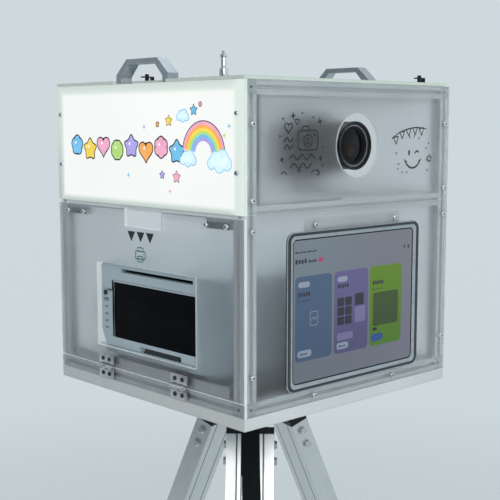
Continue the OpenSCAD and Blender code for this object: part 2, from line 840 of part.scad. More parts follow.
// Frame of leg i: origin on the hinge pin, X along the pin, Y outwards, -Z down the leg
module at_leg(i) {
    translate([axis_off, axis_off, pin_z]) rotate(LEG_AZ[i] - 90) translate([0, hinge_r, 0])
        rotate([splay, 0, 0]) children();
}

module at_hinge(i) {
    translate([axis_off, axis_off, pin_z]) rotate(LEG_AZ[i] - 90) translate([0, hinge_r, 0]) children();
}

module lug(x0) {
    rotate([90, 0, 90]) translate([0, 0, x0]) linear_extrude(lug_t) difference() {
        union() {
            circle(r = lug_r);
            translate([-lug_r, 0]) square([2 * lug_r, pin_drop - plate_t - head_t]);
        }
        circle(r = leg_pin_r + fit);
    }
}

module tripod_head() {
    color(black_c) {
        translate([axis_off, axis_off, head_top - head_t]) difference() {
            cylinder(r = head_r_out, h = head_t);
            translate([0, 0, -e]) cylinder(r = insert_r + fit, h = head_t + 2 * e);
        }
        for (i = [0:2]) at_hinge(i) {
            lug(hub_w / 2 + lug_gap);
            lug(-hub_w / 2 - lug_gap - lug_t);
            pin_len = hub_w + 2 * lug_gap + 2 * lug_t;
            along_x([-pin_len / 2 - 5, 0, 0], leg_pin_r, pin_len + 10);
            for (s = [-1, 1]) translate([s * (pin_len / 2 + 2.5), 0, 0]) rotate([0, 90, 0])
                cylinder(r = 9, h = 5, center = true, $fn = 6);
        }
    }
}

grip_r = 22;
module head_screw() {
    grip_top = head_top - head_t - 10;
    color(black_c) translate([axis_off, axis_off, 0]) {
        translate([0, 0, grip_top]) cylinder(r = insert_r, h = stand_h + base_t - 4 - grip_top);
        translate([0, 0, grip_top]) cylinder(r = 14, h = 10 - seam);
        translate([0, 0, grip_top - 18]) difference() {
            cylinder(r = grip_r, h = 18);
            for (a = [0:45:315]) rotate(a) translate([grip_r + 2, 0, -e]) cylinder(r = 5, h = 18 + 2 * e);
        }
    }
}

bar_top = 15;
rail_top = 26;
clamp_top = 780;
clamp_len = 56;
channel_w = leg_w - 2 * rail_w;
web_t = 2.5;
rail_wall = 2;
tongue_len = 64;
slider_gap = 0.6;
slider_w = channel_w - 2 * slider_gap;
slider_d = leg_d - web_t - 7;
slider_y0 = -leg_d / 2 + web_t + slider_gap;
slider_top = 120;
clamp_wall = 3.4;
knob_down = clamp_top + clamp_len / 2;
bolt_down = [42, 68];
bolt_r = 4;
BACK = -leg_d / 2;
FRONT = leg_d / 2;

module leg_castings(i) {
    color(black_c) at_leg(i) {
        difference() {
            union() {
                along_x([-hub_w / 2, 0, 0], lug_r - 0.5, hub_w);
                translate([-hub_w / 2, -lug_r + 0.5, -bar_top]) cube([hub_w, 2 * lug_r - 1, bar_top]);
                translate([-leg_w / 2, BACK, -rail_top]) cube([leg_w, leg_d, rail_top - bar_top]);
                translate([-channel_w / 2 + seam, BACK + web_t + seam, -rail_top - tongue_len])
                    cube([channel_w - 2 * seam, leg_d - web_t - seam - 2, tongue_len + e]);
            }
            along_x([-hub_w / 2 - e, 0, 0], leg_pin_r + fit, hub_w + 2 * e);
            for (d = bolt_down) along_x([-leg_w, 0, -d], bolt_r + fit, 2 * leg_w);
        }
        translate([0, 0, -clamp_top - clamp_len]) difference() {
            translate([-leg_w / 2 - clamp_wall, BACK - clamp_wall, 0])
                cube([leg_w + 2 * clamp_wall, leg_d + 2 * clamp_wall, clamp_len + 18]);
            translate([-leg_w / 2 - 0.1, BACK - 0.1, clamp_len])
                cube([leg_w + 0.2, leg_d + 0.2, 18 + e]);
            translate([-slider_w / 2 - 0.3, slider_y0 - 0.3, -e])
                cube([slider_w + 0.6, slider_d + 0.6, clamp_len + 2 * e]);
            along_y([0, 0, clamp_len / 2], bolt_r + fit, leg_d);
        }
    }
}

module leg_section() {
    groove_w = 2.4;
    groove_at = 16;
    difference() {
        translate([-leg_w / 2, BACK]) square([leg_w, leg_d]);
        translate([-channel_w / 2, BACK + web_t]) square([channel_w, leg_d]);
        for (s = [-1, 1]) {
            translate([s * (leg_w - rail_w) / 2 - rail_w / 2 + rail_wall, BACK + web_t])
                square([rail_w - 2 * rail_wall, leg_d - web_t - 3.5]);
            translate([s * (leg_w / 2 - groove_at) - groove_w / 2, FRONT - 1.5]) square([groove_w, 3]);
        }
    }
}

module leg_rails(i) {
    color(alu_c) at_leg(i) difference() {
        translate([0, 0, -clamp_top]) linear_extrude(clamp_top - rail_top) leg_section();
        for (d = bolt_down) along_x([-leg_w, 0, -d], bolt_r + fit, 2 * leg_w);
    }
}

// Two through bolts with hexagon heads and nuts
module leg_bolts(i) {
    color(steel_c) at_leg(i) for (d = bolt_down) {
        along_x([-leg_w / 2, 0, -d], bolt_r, leg_w);
        for (s = [-1, 1]) translate([s * (leg_w / 2 + 2.5), 0, -d]) rotate([0, 90, 0])
            cylinder(r = 6.8, h = 5, center = true, $fn = 6);
    }
}

// Carrying strap of webbing, screwed to the outer side of leg 1 and running a little askew
strap_t = 2.2;
strap_len = 430;
strap_tilt = 1.75;
module leg_strap() {
    color(black_c) at_leg(0) translate([0, FRONT, -bar_top - 1]) rotate([0, strap_tilt, 0]) {
        translate([-strap_w / 2, 0, -strap_len]) cube([strap_w, strap_t, strap_len]);
        translate([-strap_w / 2, 0, -strap_len]) cube([strap_w, 2 * strap_t, 45]);
        for (d = [8, 36]) along_y([0, strap_t, d - strap_len], 4.5, 2 * strap_t);
    }
}

// The lower leg is a closed tube that slides in the channel of the upper leg
module leg_slider(i) {
    wall = 2;
    l = leg_len - 50 - slider_top;
    color(alu_c) at_leg(i) translate([-slider_w / 2, slider_y0, -slider_top - l]) difference() {
        cube([slider_w, slider_d, l]);
        translate([wall, wall, -e]) cube([slider_w - 2 * wall, slider_d - 2 * wall, l + 2 * e]);
    }
}

module leg_foot(i) {
    shoe_r = 19;
    color(black_c) at_leg(i) {
        translate([0, slider_y0 + slider_d / 2, -leg_len + 24]) cylinder(r = shoe_r, h = 26);
        translate([0, 0, -leg_len]) cylinder(r = foot_r, h = 30);
        translate([0, 0, -leg_len]) sphere(r = foot_r);
    }
}

module leg_knob(i) {
    lobes = 6;
    knob_r = 16;
    y0 = FRONT + clamp_wall;
    inner = slider_y0 + slider_d + 0.3;
    color(black_c) at_leg(i) translate([0, 0, -knob_down]) {
        along_y([0, inner, 0], bolt_r, y0 - inner + 14);
        translate([0, y0 + 10, 0]) rotate([-90, 0, 0]) {
            difference() {
                cylinder(r = knob_r, h = 14);
                for (k = [0:lobes - 1]) rotate(k * 360 / lobes + 20) translate([knob_r + 2, 0, -e])
                    cylinder(r = 4.5, h = 14 + 2 * e);
            }
        }
    }
}

module leg_1_castings() { leg_castings(0); }
module leg_2_castings() { leg_castings(1); }
module leg_3_castings() { leg_castings(2); }
module leg_1_rails() { leg_rails(0); }
module leg_2_rails() { leg_rails(1); }
module leg_3_rails() { leg_rails(2); }
module leg_1_bolts() { leg_bolts(0); }
module leg_2_bolts() { leg_bolts(1); }
module leg_3_bolts() { leg_bolts(2); }
module leg_1_slider() { leg_slider(0); }
module leg_2_slider() { leg_slider(1); }
module leg_3_slider() { leg_slider(2); }
module leg_1_foot() { leg_foot(0); }
module leg_2_foot() { leg_foot(1); }
module leg_3_foot() { leg_foot(2); }
module leg_1_knob() { leg_knob(0); }
module leg_2_knob() { leg_knob(1); }
module leg_3_knob() { leg_knob(2); }

base_plate();
mounting_plate();
frame_posts();
frame_rails();
frame_hardware();
top_panel();
front_upper_panel();
front_lower_panel();
side_and_rear_panels();
sign_panel();
sign_light_box();
panel_screws();
printer_door();
door_hinge_leaves();
frame_hinge_leaves();
hinge_pins();
strike_plates();
sill_strip();
tablet_surround();
tablet();
tablet_power_button();
inner_brackets();
camera_body();
lens_barrel();
lens_zoom_ring();
lens_focus_ring();
lens_glass();
shutter_button();
mode_dial();
printer_housing();
printer_drawer();
printer_drawer_window();
printer_power_button();
printer_shelf();
power_inlet();
rocker_switch();
carry_handles();
light_spigot();
top_clips();
tripod_head();
head_screw();
leg_strap();
leg_1_castings();
leg_2_castings();
leg_3_castings();
leg_1_rails();
leg_2_rails();
leg_3_rails();
leg_1_bolts();
leg_2_bolts();
leg_3_bolts();
leg_1_slider();
leg_2_slider();
leg_3_slider();
leg_1_foot();
leg_2_foot();
leg_3_foot();
leg_1_knob();
leg_2_knob();
leg_3_knob();
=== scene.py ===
import json
import math
from itertools import product

import bmesh
import bpy
import numpy as np
from bpy.props import FloatProperty, FloatVectorProperty, IntProperty, PointerProperty
from mathutils import Matrix, Vector


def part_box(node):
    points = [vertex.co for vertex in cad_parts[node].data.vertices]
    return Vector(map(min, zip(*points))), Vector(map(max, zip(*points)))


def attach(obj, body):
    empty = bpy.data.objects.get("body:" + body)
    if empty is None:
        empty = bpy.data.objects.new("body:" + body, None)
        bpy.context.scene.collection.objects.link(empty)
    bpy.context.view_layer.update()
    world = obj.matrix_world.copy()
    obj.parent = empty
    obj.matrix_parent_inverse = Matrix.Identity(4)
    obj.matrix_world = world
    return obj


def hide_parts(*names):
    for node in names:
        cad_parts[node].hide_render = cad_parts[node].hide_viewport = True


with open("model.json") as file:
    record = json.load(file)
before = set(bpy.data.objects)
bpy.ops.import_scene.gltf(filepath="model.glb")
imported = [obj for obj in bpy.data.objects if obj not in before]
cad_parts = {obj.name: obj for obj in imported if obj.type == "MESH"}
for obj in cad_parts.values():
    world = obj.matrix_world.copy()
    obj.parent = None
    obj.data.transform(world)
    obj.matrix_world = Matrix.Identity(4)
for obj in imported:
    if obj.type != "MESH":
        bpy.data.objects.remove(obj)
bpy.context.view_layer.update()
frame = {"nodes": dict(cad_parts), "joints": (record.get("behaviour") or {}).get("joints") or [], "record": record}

bl_info = {
    "name": "Photo booth on a folding stand",
    "version": (1, 0, 0),
    "blender": (4, 5, 0),
    "location": "View3D > Sidebar > Booth",
    "description": "Finishes and details a frosted photo booth around its packed frame",
    "category": "Object",
}

NODES = frame["nodes"]
MM = 0.001
CORNER = np.array(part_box("base_plate")[0])      # the booth's near lower corner
BOX_W, BOX_D = (np.array(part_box("base_plate")[1]) - CORNER)[:2] / MM
BOX_H = (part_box("top_panel")[1][2] - CORNER[2]) / MM
LEG_AZIMUTHS = (225.0, 345.0, 105.0)
SHEET = 5.0             # thickness of every sheet, millimetres
HAIR = 0.12             # how far a see-through face stands off what it touches
TAU = 2 * math.pi


# ------------------------------------------------------------------ places
def at(points):
    """Millimetres from the booth's near lower corner, turned into metres of the model's frame."""
    return CORNER + np.asarray(points, float) * MM


class Plane:
    """A flat side of the booth: u and v run over it in booth millimetres and h stands out of it."""

    def __init__(self, u, v, out, origin=(0.0, 0.0, 0.0)):
        self.axes = np.array([u, v, out], float)
        self.origin = np.array(origin, float)

    def put(self, uvh):
        return at(self.origin + np.asarray(uvh, float) @ self.axes)


FRONT = Plane((1, 0, 0), (0, 0, 1), (0, -1, 0))
SIDE = Plane((0, 1, 0), (0, 0, 1), (-1, 0, 0))


class LegFrame:
    """Leg millimetres: across along the hinge pin, out square to the leg, down from the hinge pin."""

    def __init__(self, number):
        az = math.radians(LEG_AZIMUTHS[number - 1])
        splay = stand_splay()
        radial = np.array([math.cos(az), math.sin(az), 0.0])
        self.across = np.array([math.sin(az), -math.cos(az), 0.0])
        self.out = radial * math.cos(splay) + np.array([0, 0, 1.0]) * math.sin(splay)
        self.down = radial * math.sin(splay) - np.array([0, 0, 1.0]) * math.cos(splay)
        joint = next(j for j in frame["joints"] if j["name"] == "leg_%d_fold" % number)
        self.pin = np.array(joint["pos_m"])

    def put(self, points):
        p = np.asarray(points, float) * MM
        return self.pin + p @ np.array([self.across, self.out, self.down])


def stand_splay():
    """The legs' angle from the vertical, from the direction of their slides."""
    joint = next(j for j in frame["joints"] if j["name"] == "leg_1_extend")
    return math.acos(-joint["axis"][2])


# ------------------------------------------------------------------ meshes
def grid_faces(rows, cols, wrap_rows=False, wrap_cols=False):
    """Quads of a grid of points: row i and i + 1, column j and j + 1, closed round where asked."""
    i = np.arange(rows if wrap_rows else rows - 1)
    j = np.arange(cols if wrap_cols else cols - 1)
    i, j = (a.ravel() for a in np.meshgrid(i, j, indexing="ij"))
    i1, j1 = (i + 1) % rows, (j + 1) % cols
    return np.stack([i * cols + j, i1 * cols + j, i1 * cols + j1, i * cols + j1], 1)


def new_mesh(name, shapes, crease=34.0):
    """One mesh from (points, faces) pairs, doubles merged, normals outward, sharp over the crease angle."""
    points, faces, base = [], [], 0
    for pts, fcs in shapes:
        points.append(np.asarray(pts, float).reshape(-1, 3))
        faces += [[int(k) + base for k in f] for f in fcs]
        base += len(points[-1])
    me = bpy.data.meshes.new(name)
    me.from_pydata(np.concatenate(points).tolist(), [], faces)
    tidy_mesh(me, crease)
    return me


def tidy_mesh(me, crease, merge=2e-6, dissolve=False):
    bm = bmesh.new()
    bm.from_mesh(me)
    bmesh.ops.remove_doubles(bm, verts=bm.verts, dist=merge)
    bmesh.ops.dissolve_degenerate(bm, edges=bm.edges, dist=merge)
    if dissolve:
        bmesh.ops.dissolve_limit(bm, angle_limit=math.radians(0.6), verts=bm.verts, edges=bm.edges)
    bmesh.ops.recalc_face_normals(bm, faces=bm.faces)
    limit = math.radians(crease)
    for e in bm.edges:
        e.smooth = len(e.link_faces) == 2 and e.calc_face_angle(0.0) < limit
    for f in bm.faces:
        f.smooth = True
    bm.to_mesh(me)
    bm.free()


def piece(name, me, body, slot, *mats):
    """An object at the origin that rides on a body and takes its finish from a slot."""
    ob = bpy.data.objects.new(name, me)
    bpy.context.scene.collection.objects.link(ob)
    for m in mats:
        me.materials.append(m)
    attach(ob, body)
    return ob


def made_piece(name, shapes, body, slot, mat, crease=34.0, node=None):
    """A piece from (points, faces) pairs; with a node, it stands for that node."""
    ob = piece(name, new_mesh(name, shapes, crease), body, slot, mat)
    if node is not None:
        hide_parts(node)
    return ob


def bevel(ob, width, segments=2, angle=34.0):
    b = ob.modifiers.new("edge", "BEVEL")
    b.width = width * MM
    b.segments = segments
    b.limit_method = "ANGLE"
    b.angle_limit = math.radians(angle)
    b.use_clamp_overlap = True
    b.harden_normals = True
    return ob


def body_of(node):
    bodies = frame["record"]["behaviour"]["bodies"]
    return next(b for b, members in bodies.items() if node in members)


def slot_of(node):
    return next(s["material_slot"] for s in frame["record"]["subparts"] if s["node"] == node)


def pull_back(me, axis, where, by):
    """Moves the points that lie at one booth coordinate, so that touching faces part by a hair."""
    co = np.empty(len(me.vertices) * 3)
    me.vertices.foreach_get("co", co)
    co = co.reshape(-1, 3)
    there = np.abs((co[:, axis] - CORNER[axis]) / MM - where) < 0.02
    co[there, axis] += by * MM
    me.vertices.foreach_set("co", co.ravel())


def slice_off(me, point, normal):
    """Cuts a corner away along a plane and closes the cut with one face."""
    bm = bmesh.new()
    bm.from_mesh(me)
    cut = bmesh.ops.bisect_plane(bm, geom=list(bm.verts) + list(bm.edges) + list(bm.faces),
                                 plane_co=at(point),
                                 plane_no=normal, clear_outer=True, dist=1e-6)
    edges = [e for e in cut["geom_cut"] if isinstance(e, bmesh.types.BMEdge)]
    bmesh.ops.edgeloop_fill(bm, edges=edges)
    bmesh.ops.recalc_face_normals(bm, faces=bm.faces)
    bm.to_mesh(me)
    bm.free()


def rework(node, mat, width=0.4, segments=2, edge=None, axis=None, shy=(), cuts=()):
    """A merged copy of a node's solid with eased edges; faces square to the axis may take an edge finish.
    shy lists (axis, booth millimetres, move): faces there step back from the parts that they touch."""
    me = NODES[node].data.copy()
    me.name = node + "_made"
    me.materials.clear()
    tidy_mesh(me, 30.0, dissolve=True)
    for place in shy:
        pull_back(me, *place)
    for cut in cuts:
        slice_off(me, *cut)
    ob = piece(node + "_made", me, body_of(node), slot_of(node), mat)
    if edge is not None:
        me.materials.append(edge)
        normals = np.empty(len(me.polygons) * 3)
        me.polygons.foreach_get("normal", normals)
        side = np.abs(normals.reshape(-1, 3)[:, axis]) < 0.5
        me.polygons.foreach_set("material_index", side.astype(np.int32))
    if width:
        bevel(ob, width, segments)
    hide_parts(node)
    return ob


# ------------------------------------------------------------------ outlines, as arrays of (u, v)
def circle_line(r, n=48, cu=0.0, cv=0.0):
    """Points at equal angles on a circle."""
    a = np.arange(n) * TAU / n
    return np.stack([cu + r * np.cos(a), cv + r * np.sin(a)], 1)


def round_rect_line(w, h, r, n=9, cu=0.0, cv=0.0):
    """Four quarter circles of radius r, joined in order by the rectangle's straight sides."""
    a = np.linspace(0, TAU / 4, n)
    arc = np.stack([np.cos(a), np.sin(a)], 1) * r
    turns = []
    for k, (sx, sy) in enumerate(((1, 1), (-1, 1), (-1, -1), (1, -1))):
        c, s = math.cos(k * TAU / 4), math.sin(k * TAU / 4)
        turned = arc @ np.array([[c, s], [-s, c]])
        turns.append(turned + [sx * (w / 2 - r), sy * (h / 2 - r)])
    return np.concatenate(turns) + [cu, cv]


def wavy_line(r, lobes, depth, n=120, cu=0.0, cv=0.0, turn=0.0):
    """A circle whose radius swells by depth times the absolute sine of its angle: petals or cloud puffs."""
    a = np.arange(n) * TAU / n
    rr = r * (1 - depth + depth * np.abs(np.sin(lobes * (a + turn) / 2)))
    return np.stack([cu + rr * np.cos(a), cv + rr * np.sin(a)], 1)


def star_line(r, inner=0.5, points=5, cu=0.0, cv=0.0, turn=0.25, soft=0.16, n=14):
    """Star corners at r and inner times r, each side bent by blending towards its middle points."""
    k = np.arange(2 * points)
    a = turn * TAU + k * TAU / (2 * points)
    rr = np.where(k % 2 == 0, r, r * inner)
    corner = np.stack([rr * np.cos(a), rr * np.sin(a)], 1)
    before, after = np.roll(corner, 1, 0), np.roll(corner, -1, 0)
    t = np.linspace(0, 1, n)[:, None, None]
    s = corner + (before - corner) * soft
    e = corner + (after - corner) * soft
    curve = (1 - t) ** 2 * s + 2 * t * (1 - t) * corner + t ** 2 * e
    return curve.transpose(1, 0, 2).reshape(-1, 2) + [cu, cv]


def heart_line(size, cu=0.0, cv=0.0, n=60):
    """The usual heart curve: sixteen sine cubed across, and a sum of four cosines up."""
    t = np.arange(n) * TAU / n
    x = 16 * np.sin(t) ** 3
    y = 13 * np.cos(t) - 5 * np.cos(2 * t) - 2 * np.cos(3 * t) - np.cos(4 * t)
    return np.stack([-x, y], 1) * size / 32 + [cu, cv]


def poly_line(points):
    return np.asarray(points, float)


def normals_of(line):
    """Unit outward normals of a closed line that runs anticlockwise: its tangent turned right."""
    t = np.roll(line, -1, 0) - np.roll(line, 1, 0)
    t /= np.linalg.norm(t, axis=1)[:, None] + 1e-12
    return np.stack([t[:, 1], -t[:, 0]], 1)


def grown(line, d):
    return line + normals_of(line) * d


# ------------------------------------------------------------------ solids
def plate(plane, line, low, high, ease=0.0):
    """A closed outline carried from height low to high, its upper edge eased in a quarter circle."""
    line = np.asarray(line, float)
    nrm = normals_of(line)
    rings = [(0.0, low)]
    if ease > 0:
        a = np.linspace(0, TAU / 4, 4)
        rings += [(-ease * (1 - math.cos(x)), high - ease + ease * math.sin(x)) for x in a]
    else:
        rings += [(0.0, high)]
    pts = [np.column_stack([line + nrm * d, np.full(len(line), h)]) for d, h in rings]
    n = len(line)
    faces = grid_faces(len(pts), n, wrap_cols=True).tolist()
    faces.append(list(range(n))[::-1])
    faces.append([(len(pts) - 1) * n + k for k in range(n)])
    return plane.put(np.concatenate(pts)), faces


def stroke(plane, line, width, low=0.05, high=0.35, closed=False):
    """A flat pen line: each point of the path gives a left and a right point half the width away,
    raised into a six-sided band; open ends are drawn to a rounded tip."""
    p = np.asarray(line, float)
    if closed:
        t = np.roll(p, -1, 0) - np.roll(p, 1, 0)
    else:
        t = np.gradient(p, axis=0)
    t /= np.linalg.norm(t, axis=1)[:, None] + 1e-12
    side = np.stack([-t[:, 1], t[:, 0]], 1)
    half = np.full(len(p), width / 2.0)
    if not closed:
        tip = np.array([0.25, 0.8])
        half[:2] *= tip
        half[-2:] *= tip[::-1]
    cross = ((-1, low), (-1, high * 0.7), (-0.6, high), (0.6, high), (1, high * 0.7), (1, low))
    cols = [np.column_stack([p + side * (half * s)[:, None], np.full(len(p), h)]) for s, h in cross]
    pts = np.stack(cols, 1).reshape(-1, 3)
    faces = grid_faces(len(p), 6, closed, True).tolist()
    if not closed:
        faces.append(list(range(6))[::-1])
        faces.append([(len(p) - 1) * 6 + k for k in range(6)])
    return plane.put(pts), faces


def bend(points, n=18):
    """A smooth path through the points: a Catmull-Rom cubic between each two."""
    p = np.asarray(points, float)
    p = np.vstack([2 * p[0] - p[1], p, 2 * p[-1] - p[-2]])
    t = np.linspace(0, 1, n)[:, None]
    out = []
    for a, b, c, d in zip(p[:-3], p[1:-2], p[2:-1], p[3:]):
        out.append(0.5 * (2 * b + (c - a) * t + (2 * a - 5 * b + 4 * c - d) * t ** 2
                          + (3 * b - a - 3 * c + d) * t ** 3)[:-1])
    return np.vstack(out + [p[-2:-1]])


def arc(cu, cv, r, a0, a1, n=24, squash=1.0):
    """Points of a circle between two angles in degrees."""
    a = np.radians(np.linspace(a0, a1, n))
    return np.stack([cu + r * np.cos(a), cv + squash * r * np.sin(a)], 1)


def axes_for(direction):
    """Two unit vectors square to a direction and to each other."""
    w = np.asarray(direction, float)
    w = w / np.linalg.norm(w)
    u = np.cross(w, [0.0, 0.0, 1.0] if abs(w[2]) < 0.9 else [1.0, 0.0, 0.0])
    u /= np.linalg.norm(u)
    return u, np.cross(w, u), w


def turned(origin, direction, profile, steps=64, swell=None):
    """A profile of (radius, distance) pairs carried round an axis. swell(angle, index) scales the radius,
    which gives hexagons, flutes and ribs. origin is in metres, the profile in millimetres."""
    u, v, w = axes_for(direction)
    prof = np.asarray(profile, float)
    a = np.arange(steps) * TAU / steps
    r = prof[:, 0][:, None] * np.ones(steps)[None]
    if swell is not None:
        r = r * swell(a[None], np.arange(len(prof))[:, None])
    ring = np.cos(a)[None, :, None] * u + np.sin(a)[None, :, None] * v
    pts = np.asarray(origin, float) + (r[..., None] * ring + prof[:, 1][:, None, None] * w) * MM
    closed = abs(prof[0, 0]) > 1e-9 or abs(prof[-1, 0]) > 1e-9
    return pts.reshape(-1, 3), grid_faces(len(prof), steps, closed, True)


def hexagon(a):
    """Radius of a unit-apothem hexagon over the angle."""
    return 1.0 / np.cos((a + TAU / 12) % (TAU / 6) - TAU / 12)


# ------------------------------------------------------------------ shader maths
class Value:
    """A shader socket in an expression: each operator adds the Math node it stands for."""

    def __init__(self, shade, socket):
        self.shade, self.socket = shade, socket

    def __add__(self, other): return self.shade.sum_up("ADD", self, other)
    def __sub__(self, other): return self.shade.sum_up("SUBTRACT", self, other)
    def __rsub__(self, other): return self.shade.sum_up("SUBTRACT", other, self)
    def __mul__(self, other): return self.shade.sum_up("MULTIPLY", self, other)
    def __truediv__(self, other): return self.shade.sum_up("DIVIDE", self, other)
    def __pow__(self, other): return self.shade.sum_up("POWER", self, other)
    def __gt__(self, other): return self.shade.sum_up("GREATER_THAN", self, other)
    def __lt__(self, other): return self.shade.sum_up("LESS_THAN", self, other)
    __radd__, __rmul__ = __add__, __mul__

    def absolute(self): return self.shade.sum_up("ABSOLUTE", self)
    def over(self, other): return self.shade.sum_up("MAXIMUM", self, other)
    def under(self, other): return self.shade.sum_up("MINIMUM", self, other)

    def rise(self, low, high, to_low=0.0, to_high=1.0):
        """A smooth step from to_low to to_high between low and high."""
        return self.shade.out("ShaderNodeMapRange", {"interpolation_type": "SMOOTHSTEP"},
                              {0: self, 1: low, 2: high, 3: to_low, 4: to_high})


class Graph:
    """A node tree, and the one way in which nodes are added to it."""

    def __init__(self, tree):
        self.tree = tree
        tree.nodes.clear()

    def feed(self, socket, value):
        if isinstance(value, Value):
            self.tree.links.new(value.socket, socket)
        elif hasattr(value, "__len__") and len(value) == 3 and len(socket.default_value) == 4:
            socket.default_value = (*value, 1.0)
        else:
            socket.default_value = value

    def node(self, kind, settings=None, values=None):
        """Any node: its settings first, then the values or links of its sockets."""
        made = self.tree.nodes.new(kind)
        for key, value in (settings or {}).items():
            if key == "stops":
                ramp = made.color_ramp
                while len(ramp.elements) < len(value):
                    ramp.elements.new(0.5)
                for element, (place, colour) in zip(ramp.elements, value):
                    element.position, element.color = place, (*colour, 1.0)
            else:
                setattr(made, key, value)
        for key, value in (values or {}).items():
            self.feed(made.inputs[key], value)
        return made

    def out(self, kind, settings=None, values=None, output=0):
        return Value(self, self.node(kind, settings, values).outputs[output])

    def sum_up(self, operation, *terms):
        return self.out("ShaderNodeMath", {"operation": operation}, dict(enumerate(terms)))

    def part(self, vector, index):
        return self.out("ShaderNodeSeparateXYZ", None, {0: vector}, index)

    def mix(self, mask, one, two, blend="MIX"):
        return self.out("ShaderNodeMix", {"data_type": "RGBA", "blend_type": blend},
                        {0: mask, 6: one, 7: two}, 2)

    def ramp(self, mask, stops):
        return self.out("ShaderNodeValToRGB", {"stops": stops}, {0: mask})


class Shade(Graph):
    """One procedural material: a Principled shader, and the nodes that feed it."""

    def __init__(self, name, colour=(0.8, 0.8, 0.8), rough=0.5, metal=0.0, **uniform):
        self.mat = bpy.data.materials.new(name)
        self.mat.use_nodes = True
        super().__init__(self.mat.node_tree)
        self.shader = self.node("ShaderNodeBsdfPrincipled")
        end = self.node("ShaderNodeOutputMaterial")
        self.tree.links.new(self.shader.outputs[0], end.inputs[0])
        self.mat.diffuse_color = (*colour[:3], 1.0)
        self.set(Base_Color=colour, Roughness=rough, Metallic=metal, **uniform)
        self.coords = None

    def set(self, **values):
        for key, value in values.items():
            self.feed(self.shader.inputs[key.replace("_", " ")], value)

    def place(self):
        """Object coordinates, one texture coordinate node for the whole material."""
        if self.coords is None:
            self.coords = self.out("ShaderNodeTexCoord", output="Object")
        return self.coords

    def axis(self, index):
        """One booth coordinate of the surface, in millimetres."""
        return (self.part(self.place(), index) - float(CORNER[index])) * 1000.0

    def stretched(self, scale=(1, 1, 1), turn=(0, 0, 0), move=(0, 0, 0)):
        return self.out("ShaderNodeMapping", {"vector_type": "TEXTURE"},
                        {"Vector": self.place(), "Location": move, "Rotation": turn,
                         "Scale": tuple(1.0 / s for s in scale)})

    def noise(self, scale, detail=3.0, rough=0.5, vector=None, warp=0.0):
        return self.out("ShaderNodeTexNoise", None,
                        {"Vector": vector or self.place(), "Scale": scale, "Detail": detail,
                         "Roughness": rough, "Distortion": warp})

    def bump(self, height, strength=0.2, depth=0.001):
        self.set(Normal=self.out("ShaderNodeBump", None,
                                 {"Strength": strength, "Distance": depth, "Height": height}))


def tint(colour, amount):
    return tuple(max(0.0, c * amount) for c in colour)


# ------------------------------------------------------------------ finishes
def leg_stretch(shade, number, along=0.03):
    """Coordinates pressed together along a leg, so that noise draws lines down it."""
    leg = LegFrame(number)
    turn = Matrix((leg.across, leg.out, -leg.down)).transposed().to_euler()
    return shade.out("ShaderNodeMapping", {"vector_type": "TEXTURE"},
                     {"Vector": shade.place(), "Location": tuple(leg.pin), "Rotation": tuple(turn),
                      "Scale": (1.0, 1.0, 1.0 / along)})


def grained(name, colour, metal, tones, cloud, grain, rough, relief, **uniform):
    """A finish of two noises: cloud (size, detail, rough) drifts between the tones, grain roughens it.
    rough is (least, spread) over the grain, relief is (strength, depth); without a cloud the grain
    also tints."""
    s = Shade(name, colour, sum(rough), metal, **uniform)
    fine = s.noise(*grain)
    drift = s.noise(*cloud) if cloud else fine
    s.set(Base_Color=s.ramp(drift, tones), Roughness=rough[0] + fine * rough[1])
    s.bump(fine, *relief)
    return s.mat


def satin_bar(name, line_of):
    """Satin anodised bar: die lines along it over a slight cloud. line_of gives the lines' noise."""
    s = Shade(name, (0.92, 0.95, 0.96), 0.34, 0.3)
    line = line_of(s)
    cloud = s.noise(14.0, 3.0, 0.6)
    tones = [(0.32, (0.8, 0.835, 0.85)), (0.5, (0.9, 0.925, 0.935)), (0.7, (0.96, 0.97, 0.975))]
    s.set(Base_Color=s.ramp(line * 0.6 + cloud * 0.4, tones), Roughness=0.28 + line * 0.12)
    s.bump(line, 0.15, 0.0002)
    return s.mat


def die_lines(s, scale):
    """Noise drawn out by a scale much under one along the bar."""
    return s.noise(800.0, 2.0, 0.6, s.stretched(scale))


def frame_post_material():
    """Die lines that run up the posts."""
    return satin_bar("satin_bar_upright", lambda s: die_lines(s, (1, 1, 0.015)))


def frame_rail_material():
    """The same bar laid flat: lines along x in the front and rear rails and along y in the side rails."""
    def level(s):
        along_x, along_y = die_lines(s, (0.015, 1, 1)), die_lines(s, (1, 0.015, 1))
        sideways = (s.axis(0) - BOX_W / 2).absolute() > (s.axis(1) - BOX_D / 2).absolute()
        return along_y * sideways + along_x * (1 - sideways)
    return satin_bar("satin_bar_level", level)


def cast_cube_material():
    """Die-cast corner cubes: bright matt zinc with a fine orange skin."""
    return grained("cast_cube", (0.7, 0.73, 0.74), 0.8, [(0.3, (0.6, 0.63, 0.65)), (0.7, (0.8, 0.82, 0.83))],
                   None, (420.0, 3.0, 0.6), (0.36, 0.14), (0.2, 0.0003))


def board_material():
    """White foamed board: a faint pebble skin, and a few percent darker over its lowest 5 millimetres."""
    s = Shade("white_board", (0.72, 0.74, 0.74), 0.55)
    pebble = s.noise(520.0, 3.0, 0.6)
    cloud = s.noise(7.0, 4.0, 0.6)
    low = s.axis(2).rise(0.0, 5.0, 0.93, 1.0)
    colour = s.ramp(cloud, [(0.35, (0.68, 0.71, 0.71)), (0.65, (0.76, 0.775, 0.77))])
    s.set(Base_Color=s.mix(1.0, colour, s.ramp(low, [(0.0, (0, 0, 0)), (1.0, (1, 1, 1))]), "MULTIPLY"),
          Roughness=0.48 + pebble * 0.14)
    s.bump(pebble, 0.12, 0.0003)
    return s.mat


